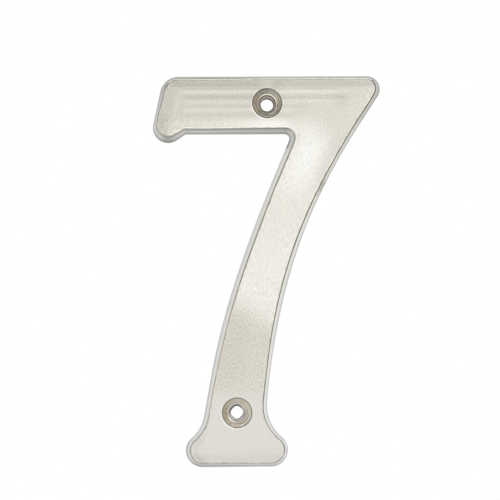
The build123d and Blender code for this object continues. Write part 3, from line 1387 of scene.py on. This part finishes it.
    def sockets(self, board: Board) -> dict[str, Value]:
        """Sanded metal, with its grain in the colour, the roughness and the relief, and painted sheen, shade
        and glints in the colour.

        Args:
            board: Tree that the finish is added to.

        Returns:
            Values and links of the shader's sockets, by name.
        """
        face = self.layout(board)
        streaks, grain = self.strokes(board, face)
        depth = math.prod((1.0 + each.at(face) for each in self.grain_changes), start=self.grain_level)
        level = self.sheen(face) * (1.0 + grain * depth + streaks * self.streak_level)
        level = level + total(self.edge_marks_and_glints, face)
        for spot, amount in self.specks_and_sheen_spots:
            level = level + amount * face["x"].away(face["z"], spot).step(1.0, 0.0)
        patches = board.grain(face["x"], face["z"], self.patches) * self.patch_level
        white = total(self.sheen_white_changes, face) + patches
        colour = board.mix(white, self.plain_colour, self.sheen_colour)
        colour = self.paint(board, colour, (self.foot,), face)
        rough = self.roughness + streaks * self.streak_roughness + grain * self.grain_roughness
        return {"Base Color": board.tint(colour, level), "Metallic": 1.0, "Roughness": rough,
                "Normal": board.bump(grain * self.grain_height + streaks, self.bump_distance)}


@dataclass(frozen=True)
class NickelSide(Finish):
    """Smoother, cooler nickel of the sloping side, with painted shade and highlights, and the face's
    edge line, brassy where the plate is worn and darkened by painted shade.

    Places are millimetres in the row's frame, and the rise is the height above the back. The masks are
    worked out in their order, so one may use those before it. A stain has a place, a rise, a reach and
    a strength.
    """

    name: ClassVar[str] = "plated_side"
    stem: StemLine = StemLine()
    plain_colour: Colour = (0.63, 0.63, 0.588)
    coats: tuple[Coat, ...] = (
        Coat((0.615, 0.615, 0.602), change(1.0, z=(-26.0, -36.0))),
        Coat((0.63, 0.63, 0.55), change(1.0, rise=(2.3, 1.1), z=(0.0, 25.0))),
        Coat((0.64, 0.625, 0.54), change(0.8, "top")))
    grey_edge_colour: Colour = (0.61, 0.58, 0.50)
    yellow_edge: Changes = (
        change(1.0, z=(-46.0, -38.0, 27.0, 31.0)), change(1.0, "right", z=(-47.0, -34.0)))
    # Colours of the edge line; the dark grey along the top is painted shade
    edge_coats: tuple[Coat, ...] = (
        Coat((0.66, 0.565, 0.35), change(1.0, "yellow")),
        Coat((0.67, 0.565, 0.46), change(1.0, "bottom")),
        Coat((0.46, 0.44, 0.39), change(1.0, "top")))
    # Colour of the painted highlight along the rim of the face
    glint_colour: Colour = (0.92, 0.88, 0.79)
    bar_parts: Changes = (change(1.0, z=(30.8, 32.4)), change(1.0, x=(-12.0, -14.0), z=(0.0, 10.0)))
    masks: tuple[tuple[str, Change], ...] = (
        ("right", change(1.0, across=(-2.0, 2.0))),
        ("top", change(1.0, z=(45.2, 46.2))),
        ("bottom", change(1.0, z=(-51.5, -53.0))),
        ("beak", change(1.0, x=(-15.0, -19.0), z=(0.0, 10.0, 34.0, 37.0))),
        ("end", change(1.0, "bar", "!top", x=(-18.5, -21.0), z=(33.5, 36.0))),
        ("under", change(1.0, "bar", x=(11.5, 9.5), z=(36.0, 33.5))),
        ("tip", change(1.0, "right", "!top", z=(31.0, 40.0))),
        ("broad", change(1.0, "right", "!top", z=(3.0, 14.0))))
    # Painted shade along the back edge of the slope, widest at the bottom
    outer_shade_level: float = 0.19
    outer_shade_changes: Changes = (
        change(0.13, "right"), change(0.13, "under"), change(0.12, "bottom"), change(0.34, "top"),
        change(0.12, "tip"), change(0.24, "end"), change(0.02, "beak"),
        change(0.14, "!right", z=(-12.0, -38.0)),
        change(-0.26, "!right", z=(-49.0, -44.5, -40.0)),
        change(0.28, "!right", "!bottom", z=(-46.5, -49.0)))
    outer_shade_zone: Changes = (change(0.45, rise=(2.6, 1.4)), change(0.55, rise=(0.3, 1.0, 1.4, 2.6)))
    outer_shade_bottom: Change = change(0.44, "bottom", rise=(0.6, 2.6, 4.6), x=(7.5, 4.0))
    # Level of the slope, with painted shade at the bar's ends, under it, along the top and in the crook
    slope_shade_changes: Changes = (
        change(-0.43, "end"), change(-0.50, "top"), change(-0.24, "tip"), change(0.03, "beak"),
        change(0.07, "right"), change(-0.16, "under"), change(-0.07, "bottom"),
        change(-0.16, "right", "!top", z=(14.0, 17.5)),
        change(-0.05, z=(-40.0, -47.0)),
        change(-0.10, "right", z=(-40.0, -47.0)),
        change(-0.22, "under", rise=(3.0, 4.4)),
        change(0.08, "bottom", rise=(1.8, 2.8)),
        change(0.04, "right", z=(6.0, 0.0), rise=(1.8, 2.8)),
        change(-0.26, "!under", crook=(1.0, 0.5)),
        change(-0.10, "end", z=(41.5, 43.5)),
        change(-0.20, "top", rise=(2.6, 3.8)))
    # Hollow of the crook, where the slope is given painted shade
    crook: Spot = (11.0, 31.0, 4.5)
    clouds: Grain = Grain(0.6, 0.6, 1.0)
    cloud_level: float = 0.08
    # Streak of painted shadow near the back, below the crook
    streak: Spot = (9.9, 29.8, 1.6)
    shadow_streak_change: Change = change(-0.9, streak=(1.0, 0.6), rise=(2.0, 1.3))
    # Edge line of the face, its darkness painted shade: palest down the left and darkest at the tip
    left_line_shade_curve: Curve = (
        (-54.0, 1.10), (-46.0, 1.15), (-38.0, 1.6), (-24.0, 1.55), (-10.0, 1.3), (5.0, 1.12), (16.0, 1.2),
        (26.0, 1.6))
    right_line_shade_curve: Curve = (
        (-54.0, 1.15), (-50.0, 1.15), (-46.0, 1.5), (-42.0, 1.45), (-33.0, 0.86), (-20.0, 0.88),
        (0.0, 0.70), (8.0, 0.47), (16.0, 0.48), (25.0, 0.50), (40.0, 0.42))
    line_shade_changes: Changes = (
        change(-0.68, "under"), change(0.30, "end"), change(0.40, "bottom"), change(0.3, "beak"))
    # Edge line of painted shade and painted highlight along the rim above it, by how far the surface has
    # turned from the face to the side
    line_turn: Span = (0.93, 0.60)
    line_shift: float = -0.14
    line_right: Change = change(0.35, "right", rise=(4.15, 4.62))
    glint_turn: Span = (0.49, 0.16)
    rim_shift: float = 0.12
    mottle: Grain = Grain(0.6, 0.6, 4.0)
    glint: float = 0.75
    glint_changes: Changes = (
        change(1.1, "mottle"), change(-0.5, "mottle", "top"),
        change(0.30, "under", x=(-22.5, -20.0)), change(0.10, "broad"),
        change(-0.10, "top", x=(-9.0, -16.0)),
        change(-0.30, x=(-18.0, -20.5), z=(42.5, 44.5)))
    # Places where the edge line is made less metallic, so that the lamps light its own colour and it shows
    # paler
    bare_parts: Changes = (
        change(1.0, "!right", z=(0.0, -22.0)), change(1.0, "bottom"),
        change(1.0, "right", z=(-50.5, -44.5, -38.5)), change(0.7, "beak"))
    bare_changes: Changes = (
        change(0.1, "!right", "!top", turn=(0.15, 0.55, 0.95)),
        change(0.75, "bare", "!top", turn=(0.15, 0.55, 0.95)))
    # Share of the back edge's painted shade that is made less metallic, to darken it further
    outer_shade_matte: float = 0.38
    stain_colour: Colour = (0.30, 0.28, 0.22)
    stains: tuple[tuple[float, float, float, float, float], ...] = (
        (17.9, 18.3, 1.9, 2.7, 1.0), (-6.0, -12.4, 1.5, 1.8, 0.16))
    stain_cells: float = 0.7
    stain_detail: float = 3.0
    stain_raggedness: float = 0.6
    stain_edge: Span = (1.10, 0.70)
    stain_foot: Span = (-1.5, -1.1)
    roughness: float = 0.22

    def layout(self, board: Board) -> Surface:
        """Coordinates and masks that the side's changes name.

        Args:
            board: Tree that they are added to.

        Returns:
            The numbers by name.
        """
        x, y, z = board.place()
        side = {
            "x": x, "y": y, "z": z, "rise": -y, "across": self.stem.across(x, z), "turn": board.mark("turn"),
            "crook": x.away(z, self.crook), "streak": x.away(z, self.streak),
            "mottle": board.grain(x, z, self.mottle)}
        side["bar"] = largest(self.bar_parts, side)
        for name, mask in self.masks:
            side[name] = mask.at(side)
        side["yellow"] = largest(self.yellow_edge, side)
        side["bare"] = largest(self.bare_parts, side)
        return side

    def stained(self, board: Board, colour: Value, side: Surface) -> Value:
        """Lays brown stains with ragged edges and a sharp foot over a colour.

        Args:
            board: Tree that they are added to.
            colour: Colour below the stains.
            side: Coordinates and masks by name.

        Returns:
            The colour with its stains.
        """
        x, y, z = (side[name] for name in "xyz")
        cells = (each * self.stain_cells for each in (x, y, z))
        ragged = board.noise(*cells, detail=self.stain_detail, roughness=self.stain_raggedness)
        for right, up, out, reach, strength in self.stains:
            plan, height = x.away(z, (right, up, reach)), (side["rise"] - out) / reach
            share = ((plan * plan + height * height).math("SQRT") + ragged).step(*self.stain_edge)
            share = share * (z - up + ragged).step(*self.stain_foot)
            colour = board.mix(share * strength, colour, self.stain_colour)
        return colour

    def worn_and_shaded_edge(self, board: Board, side: Surface) -> Value:
        """Finds the colour of the face's edge line, worn brassy plate darkened by painted shade.

        Args:
            board: Tree that it is added to.
            side: Coordinates and masks by name.

        Returns:
            The colour all round the outline.
        """
        down = side["z"].curve(self.left_line_shade_curve)
        level = down + side["right"] * (side["z"].curve(self.right_line_shade_curve) - down)
        level = level + total(self.line_shade_changes, side)
        level = level + side["top"] * (1.0 - level)
        return board.tint(self.paint(board, self.grey_edge_colour, self.edge_coats, side), level)

    def sockets(self, board: Board) -> dict[str, Value]:
        """Plated metal: the slope with its painted shade, its stains, the worn edge line darkened by painted
        shade and the painted highlight above it.

        Args:
            board: Tree that the finish is added to.

        Returns:
            Values and links of the shader's sockets, by name.
        """
        side = self.layout(board)
        outer_shade = self.outer_shade_level + total(self.outer_shade_changes, side)
        outer_shade = total(self.outer_shade_zone, side) * outer_shade + self.outer_shade_bottom.at(side)
        clouds = board.grain(side["x"], side["z"], self.clouds) * self.cloud_level
        level = (1.0 + total(self.slope_shade_changes, side) + clouds) * (1.0 - outer_shade)
        colour = self.paint(board, self.plain_colour, self.coats, side)
        colour = board.tint(colour, level * (1.0 + self.shadow_streak_change.at(side)))
        colour = self.stained(board, colour, side)
        line = (side["turn"] + self.line_shift * side["broad"]).step(*self.line_turn)
        line = line.larger(self.line_right.at(side))
        colour = board.mix(line, colour, self.worn_and_shaded_edge(board, side))
        rim = (side["turn"] + self.rim_shift * side["broad"]).step(*self.glint_turn)
        glint = self.glint + total(self.glint_changes, side)
        colour = board.mix(rim, colour, board.tint(self.glint_colour, glint))
        bare = total(self.bare_changes, side).larger(outer_shade * self.outer_shade_matte)
        return {"Base Color": colour, "Metallic": 1.0 - bare, "Roughness": self.roughness,
                "Specular IOR Level": 0.0}


@dataclass(frozen=True)
class PlatedBack(Finish):
    """Plain plated back, left as it was linished flat before plating."""

    name: ClassVar[str] = "plated_back"
    colour: Colour = (0.60, 0.60, 0.57)
    roughness: float = 0.42
    strokes: Grain = Grain(2.6, 0.12, 21.0, 3.0)
    stroke_level: float = 0.22
    stroke_roughness: float = 0.1
    clouds: Grain = Grain(0.09, 0.09, 23.0)
    cloud_level: float = 0.25
    cloud_roughness: float = 0.2
    bump_distance: float = 0.02

    def sockets(self, board: Board) -> dict[str, Value]:
        """Plated metal with upright strokes and broad clouds.

        Args:
            board: Tree that the finish is added to.

        Returns:
            Values and links of the shader's sockets, by name.
        """
        x, _, z = board.place()
        strokes, clouds = board.grain(x, z, self.strokes), board.grain(x, z, self.clouds)
        level = 1.0 + strokes * self.stroke_level + clouds * self.cloud_level
        rough = self.roughness + clouds * self.cloud_roughness + strokes * self.stroke_roughness
        return {"Base Color": board.tint(self.colour, level), "Metallic": 1.0, "Roughness": rough,
                "Normal": board.bump(strokes, self.bump_distance)}


@dataclass(frozen=True)
class TurnedHole(Finish):
    """Bare, darker metal of the screw holes, ring by ring as the tools left it, with painted light and
    shade round each hole and down its wall.

    An aim is a direction seen from the hole's axis, as its shares of east and north. The spans called
    cone, ledge, wall, floor and bore are distances down the hole's wall from where that part begins.
    """

    name: ClassVar[str] = "turned_hole"
    ways: HoleWays
    # Colours of the cones: the upper hole's darker, and darker still on its north half, by painted shade; the
    # lower hole's paler by painted light
    shaded_upper_colour: Colour = (0.74, 0.70, 0.63)
    lit_lower_colour: Colour = (0.94, 0.875, 0.765)
    north_shade_coat: Coat = Coat((0.64, 0.625, 0.585), change(1.0, north=(0.0, 0.9)))
    brown_coats: tuple[Coat, ...] = (Coat((0.76, 0.69, 0.54), change(1.0, "browned", sides=(0.3, 1.0))),)
    pale_colour: Colour = (1.0, 0.99, 0.94)
    # Colour of the upper hole's ledge under its painted highlight
    lip_highlight_colour: Colour = (0.96, 0.90, 0.78)
    clean_colour: Colour = (0.94, 0.905, 0.80)
    # Dark brown of the upper hole's wall and floor, darkened by painted shade in the recess
    shaded_wall_colour: Colour = (0.345, 0.30, 0.20)
    shaded_floor_colour: Colour = (0.47, 0.43, 0.34)
    line_coat: Coat = Coat((0.72, 0.69, 0.64), change(1.0, "lined", bore=(-0.46, -0.30, -0.14)))
    # Near-black painted shade down the bore and at its edge
    bore_shade_coat: Coat = Coat((0.05, 0.047, 0.04), change(1.0, "bored"))
    aims: tuple[tuple[str, float, float], ...] = (
        ("west", -1.0, 0.0), ("south", 0.0, -1.0), ("low_right", 1.0, -1.0), ("upper_left", -1.0, 1.0),
        ("lower_left", -1.0, -1.0), ("below_right", 0.8, -1.0), ("over_top", 0.4, 0.9),
        ("low_corner", -0.656, -0.755), ("shaded", -0.5, 0.8), ("lit", 1.0, -0.5), ("dim", -0.5, 1.0),
        ("under", -0.3, -1.0), ("open", -0.5, -1.0), ("rubbed", 1.0, 0.7))
    upper_zone: Span = (-1.0, 1.0)
    ring_cells: tuple[float, float] = (5.0, 1.2)
    ring_brown: float = 0.35
    ring_level: float = 0.4
    # Marks in the lower cone: a pale facet, a score with a pale line beside it
    lower_centre: tuple[float, float] = (-4.175, -39.95)
    score_wander: float = 0.8
    facet: Change = change(1.0, "!upper", cone=(0.4, 0.6, 0.9, 1.2), low_right=(1.0, 1.3))
    score_line: Change = change(1.0, "!upper", off=(2.83, 3.05, 3.27), up=(-1.7, -0.2, 1.3))
    scores: Changes = (
        change(1.0, "!upper", cone=(1.15, 1.35, 1.55), low_right=(1.05, 1.3)),
        change(1.0, "!upper", off=(2.43, 2.65, 2.87), up=(-1.6, 0.0, 1.6)))
    score_level: float = -0.5
    # Level of the cone, painted light and shade: a dark line of painted shade along the rim, then lighter and
    # darker sides round the lower and the upper hole, with a painted glint at the upper hole's lower right
    cone_level: float = 1.05
    rim_shade_level: float = -0.48
    rim_shade_change: Change = change(-0.16, "!upper", rim_aim=(-0.2, 0.7))
    rim_north: float = 0.6
    rim_shift: float = -0.11
    rim_span: Span = (0.55, 0.2)
    cone_shade_changes: Changes = (
        change(0.20, "!upper", east=(0.5, 0.95)),
        change(-0.15, "!upper", west=(0.5, 0.95)),
        change(-0.25, "!upper", south=(0.5, 1.0)),
        change(0.18, "upper", south=(0.0, 0.8)),
        change(0.12, "upper", sides=(0.3, 1.0)),
        change(-0.24, "upper", upper_left=(0.5, 1.2)),
        change(-0.05, "upper", north=(0.3, 0.9)),
        change(0.10, "upper", lower_left=(0.9, 1.3)),
        change(0.9, "upper", ledge=(-0.66, -0.34, -0.02), below_right=(0.85, 1.25)))
    # Level of the ledge, painted highlight: brightest at the upper hole's top and the lower hole's lower left
    lip_highlight_level: float = 0.66
    lip_highlight_changes: Changes = (
        change(-0.14, "upper"),
        change(0.38, "upper", over_top=(0.1, 0.75)),
        change(0.75, "!upper", low_corner=(0.88, 0.97)),
        change(0.08, south=(0.4, 0.9)),
        change(-0.32, "upper", south=(0.4, 0.9)),
        change(0.14, "!upper", shaded=(0.1, 0.9)),
        change(-0.14, "!upper", lit=(0.2, 0.9)),
        change(-0.09, "!upper", west=(0.6, 0.95)))
    lip_shift: float = -0.06
    lip_span: Span = (-0.08, 0.02)
    # Painted light and shade inside the lower hole, and painted shade on the upper hole's wall
    inside_level: float = 1.06
    inside_shade_changes: Changes = (change(-0.46, dim=(0.2, 1.0)), change(0.24, under=(0.0, 0.8)))
    wall_shade_change: Change = change(-0.32, wall_sides=(0.9, 1.9))
    wall_span: Span = (-0.08, 0.04)
    floor_span: Span = (-0.05, 0.10)
    line_gap: Change = change(-1.0, "!upper", open=(0.2, 0.9))
    # Where the bore's painted shade lies: down the bore, and in the lower hole a band above it, strongest on
    # its shaded side
    bore_shade_parts: Changes = (
        change(1.0, bore=(-0.14, -0.04)), change(1.0, "!upper", "deep", bore=(-0.40, -0.25)))
    deep: float = 0.3
    deep_shade_change: Change = change(0.7, shaded=(-0.1, 0.6))
    # Less metallic, so that the lamps light the colour itself: a painted glint at the upper hole's lower
    # right, and a patch of the lower hole's cone towards its upper right
    bare_changes: Changes = (
        change(0.4, "!upper", rubbed=(-0.1, 0.7), ledge=(0.0, -0.15)),
        change(0.6, "upper", below_right=(0.95, 1.25), ledge=(-0.60, -0.30, 0.0)))
    roughness: float = 0.25
    bore_roughness: float = 0.6

    def layout(self, board: Board) -> Surface:
        """Coordinates and masks that the holes' changes name.

        Args:
            board: Tree that they are added to.

        Returns:
            The numbers by name.
        """
        x, _, z = board.place()
        way, east, north = (board.mark(name) for name in ("way", "east", "north"))
        hole = {name: way - start for name, start in self.ways._asdict().items()}
        hole |= {name: east * right + north * up for name, right, up in self.aims}
        hole |= {"east": east, "north": north, "upper": z.step(*self.upper_zone), "sides": east * east}
        hole["rings"] = board.noise(
            way * self.ring_cells[0], east * self.ring_cells[1], north * self.ring_cells[1])
        hole["browned"] = self.ring_brown + hole["rings"]
        hole["off"] = x - self.lower_centre[0] + hole["rings"] * self.score_wander
        hole["up"] = z - self.lower_centre[1]
        hole["rim_aim"] = east + north * north * self.rim_north
        hole["wall_sides"] = hole["upper_left"] * hole["upper_left"]
        hole["lined"] = 1.0 + self.line_gap.at(hole)
        hole["deep"] = self.deep + self.deep_shade_change.at(hole)
        hole["bored"] = largest(self.bore_shade_parts, hole)
        return hole

    def cone(self, board: Board, hole: Surface) -> Value:
        """Colour of the cone: browner at both sides, ringed by the tool, with a dark line of painted shade
        along the rim and painted light and shade round it.

        Args:
            board: Tree that it is added to.
            hole: Coordinates and masks by name.

        Returns:
            The colour all round both holes.
        """
        plain = self.paint(board, self.shaded_upper_colour, (self.north_shade_coat,), hole)
        plain = board.mix(hole["upper"], self.lit_lower_colour, plain)
        pale = (Coat(self.pale_colour, self.facet), Coat(self.pale_colour, self.score_line))
        colour = self.paint(board, plain, (*self.brown_coats, *pale), hole)
        rim = (hole["cone"] + self.rim_shift * hole["upper"]).step(*self.rim_span)
        level = 1.0 + (self.rim_shade_level + self.rim_shade_change.at(hole)) * rim
        level = level * (1.0 + total(self.cone_shade_changes, hole))
        scored = 1.0 + self.score_level * largest(self.scores, hole)
        return board.tint(colour, (self.cone_level + hole["rings"] * self.ring_level) * level * scored)

    def sockets(self, board: Board) -> dict[str, Value]:
        """Turned metal, from the cone over the ledge with its painted highlight down to the bore, darkened by
        painted shade.

        Args:
            board: Tree that the finish is added to.

        Returns:
            Values and links of the shader's sockets, by name.
        """
        hole = self.layout(board)
        upper = hole["upper"]
        ledge = board.mix(upper, self.clean_colour, self.lip_highlight_colour)
        ledge = board.tint(ledge, self.lip_highlight_level + total(self.lip_highlight_changes, hole))
        lower = board.tint(self.clean_colour, self.inside_level + total(self.inside_shade_changes, hole))
        wall = board.tint(self.shaded_wall_colour, 1.0 + self.wall_shade_change.at(hole))
        lip = (hole["ledge"] + self.lip_shift * upper).step(*self.lip_span)
        colour = board.mix(lip, self.cone(board, hole), ledge)
        colour = board.mix(hole["wall"].step(*self.wall_span), colour, board.mix(upper, lower, wall))
        inner = board.mix(upper, lower, self.shaded_floor_colour)
        colour = board.mix(hole["floor"].step(*self.floor_span), colour, inner)
        colour = self.paint(board, colour, (self.line_coat, self.bore_shade_coat), hole)
        bare = hole["bored"].larger(total(self.bare_changes, hole))
        return {"Base Color": colour, "Metallic": 1.0 - bare,
                "Roughness": self.roughness + hole["bored"] * self.bore_roughness}


@dataclass(frozen=True)
class Studio:
    """Camera, floor and soft light. Places are millimetres in the row's frame."""

    camera_place: Spot = (-13.68, -482.49, -22.18)
    camera_aim: Spot = (-0.56, -5.0, 1.887)
    camera_roll: float = 0.418
    lens: float = 133.51
    sensor: float = 36.0
    clip: tuple[float, float] = (10.0, 50000.0)
    floor_height: float = -250.0
    floor_reach: float = 600.0
    floor_grey: float = 0.8
    floor_white: Span = (300.0, 560.0)
    floor_behind: Span = (0.0, 200.0)
    # Light of the world: levels in front, at the sides and behind, and where each begins
    front: float = 1.115
    side: float = 0.29
    back: float = 0.86
    front_angles: Span = (58.0, 20.0)
    front_top: Change = change(-0.35, up=(0.0, 0.4))
    backdrop: Change = change(1.0, behind=(0.25, 0.75))
    backdrop_top: Change = change(-0.87, up=(0.32, 0.52))
    backdrop_left: Change = change(-0.08, right=(-0.1, -0.4))
    lamp_place: Spot = (0.0, 150.0, 900.0)
    lamp_size: tuple[float, float] = (1200.0, 1000.0)
    lamp_power: float = 7.0

    def camera(self) -> None:
        """Places the camera where the photograph was taken from."""
        data = bpy.data.cameras.new("camera")
        data.lens = self.lens
        data.sensor_width = self.sensor
        data.clip_start, data.clip_end = (each * MM for each in self.clip)
        made = bpy.data.objects.new("camera", data)
        place, aim = Vector(self.camera_place) * MM, Vector(self.camera_aim) * MM
        ahead = (aim - place).normalized()
        right = ahead.cross(Vector((0.0, 0.0, 1.0))).normalized()
        up = right.cross(ahead)
        turn = math.radians(self.camera_roll)
        right, up = right * math.cos(turn) - up * math.sin(turn), up * math.cos(turn) + right * math.sin(turn)
        made.matrix_world = Matrix.Translation(place) @ Matrix((right, up, -ahead)).transposed().to_4x4()
        bpy.context.scene.collection.objects.link(made)
        bpy.context.scene.camera = made

    @staticmethod
    def rays(board: Board) -> tuple[Number, Number]:
        """Tells kinds of rays apart.

        Args:
            board: Tree that asks.

        Returns:
            Whether it comes from the camera, and whether metal or glass sent it on.
        """
        path = board.node("ShaderNodeLightPath", {}, {})
        seen, glossy, through = (
            Number(board, path.outputs[f"Is {kind} Ray"]) for kind in ("Camera", "Glossy", "Transmission"))
        return seen, glossy.larger(through)

    def floor(self) -> None:
        """Pale floor below the numeral, white where it is far off."""
        reach, height = self.floor_reach * MM, self.floor_height * MM
        mesh = bpy.data.meshes.new("floor")
        corners = ((-reach, -reach), (reach, -reach), (reach, reach), (-reach, reach))
        mesh.from_pydata([(*corner, height) for corner in corners], [], [(0, 1, 2, 3)])
        made = bpy.data.objects.new("floor", mesh)
        bpy.context.scene.collection.objects.link(made)
        material = bpy.data.materials.new("pale_floor")
        material.use_nodes = True
        board = Board(material.node_tree)
        x, y, _ = board.place()
        seen, mirrored = self.rays(board)
        far = (x * x + y * y).math("SQRT").step(*self.floor_white)
        white = seen.larger(mirrored * y.step(*self.floor_behind)) * far
        paint = board.node("ShaderNodeBsdfDiffuse", {}, {"Color": (self.floor_grey,) * 3})
        glow = board.node("ShaderNodeEmission", {}, {"Color": (1.0, 1.0, 1.0), "Strength": 1.0})
        both = board.node("ShaderNodeMixShader", {}, {0: white, 1: paint.outputs[0], 2: glow.outputs[0]})
        board.node("ShaderNodeOutputMaterial", {}, {"Surface": both.outputs[0]})
        mesh.materials.append(material)

    def world(self) -> None:
        """Soft light from the front and a lit white backdrop behind, with darker sides between."""
        made = bpy.data.worlds.new("studio")
        made.use_nodes = True
        bpy.context.scene.world = made
        board = Board(made.node_tree)
        way = board.node("ShaderNodeTexCoord", {}, {})
        parts = board.node("ShaderNodeSeparateXYZ", {}, {0: way.outputs["Generated"]})
        sky = dict(zip(("right", "behind", "up"), (Number(board, each) for each in parts.outputs)))
        ahead = (-sky["behind"]).step(*(math.cos(math.radians(each)) for each in self.front_angles))
        ahead = ahead * (1.0 + self.front_top.at(sky))
        backdrop = self.backdrop.at(sky) * (1.0 + self.backdrop_top.at(sky))
        backdrop = backdrop * (1.0 + self.backdrop_left.at(sky))
        level = self.side + ahead * (self.front - self.side) + backdrop * (self.back - self.side)
        seen, mirrored = self.rays(board)
        white = seen.larger(mirrored * backdrop)
        level = level * (1.0 - white) + white
        light = board.node("ShaderNodeBackground", {}, {"Color": (1.0, 1.0, 1.0), "Strength": level})
        board.node("ShaderNodeOutputWorld", {}, {"Surface": light.outputs[0]})

    def lamps(self) -> None:
        """A large soft box over the numeral."""
        data = bpy.data.lights.new("overhead", "AREA")
        data.shape = "RECTANGLE"
        data.size, data.size_y = (each * MM for each in self.lamp_size)
        data.energy = self.lamp_power
        made = bpy.data.objects.new("overhead", data)
        made.location = Vector(self.lamp_place) * MM
        bpy.context.scene.collection.objects.link(made)

    def set_up(self) -> None:
        """Puts the whole studio in place."""
        bpy.context.scene.view_settings.view_transform = "Standard"
        self.camera()
        self.floor()
        self.world()
        self.lamps()


def main() -> None:
    """Builds the numeral and the studio in order, and keeps both boxes."""
    logging.basicConfig(level=logging.INFO, format="%(name)s: %(message)s")
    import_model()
    low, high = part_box(NODE)
    width, thickness, height = (high - low) / MM
    corner = np.array([low.x, low.z]) / MM
    outline = Outline(width, height)
    drilled = (ScrewHole(thickness, bore_burr=0.05, bore_shift=(0.06, -0.06)),
               ScrewHole(thickness, bore_square=0.07, bore_burr=0.10, bore_shift=(0.03, 0.0)))
    numeral = Numeral(outline, SideSection(thickness), drilled, Relief(outline), corner)
    seven = numeral.build()
    for finish in (NickelFace(), NickelSide(), TurnedHole(drilled[0].ways()), PlatedBack()):
        seven.data.materials.append(finish.material())
    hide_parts(NODE)
    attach(seven, "root")
    LOG.info("%s: %d vertices, %d faces", seven.name, len(seven.data.vertices), len(seven.data.polygons))
    Studio().set_up()
    bpy.context.view_layer.update()


if __name__ == "__main__":
    main()
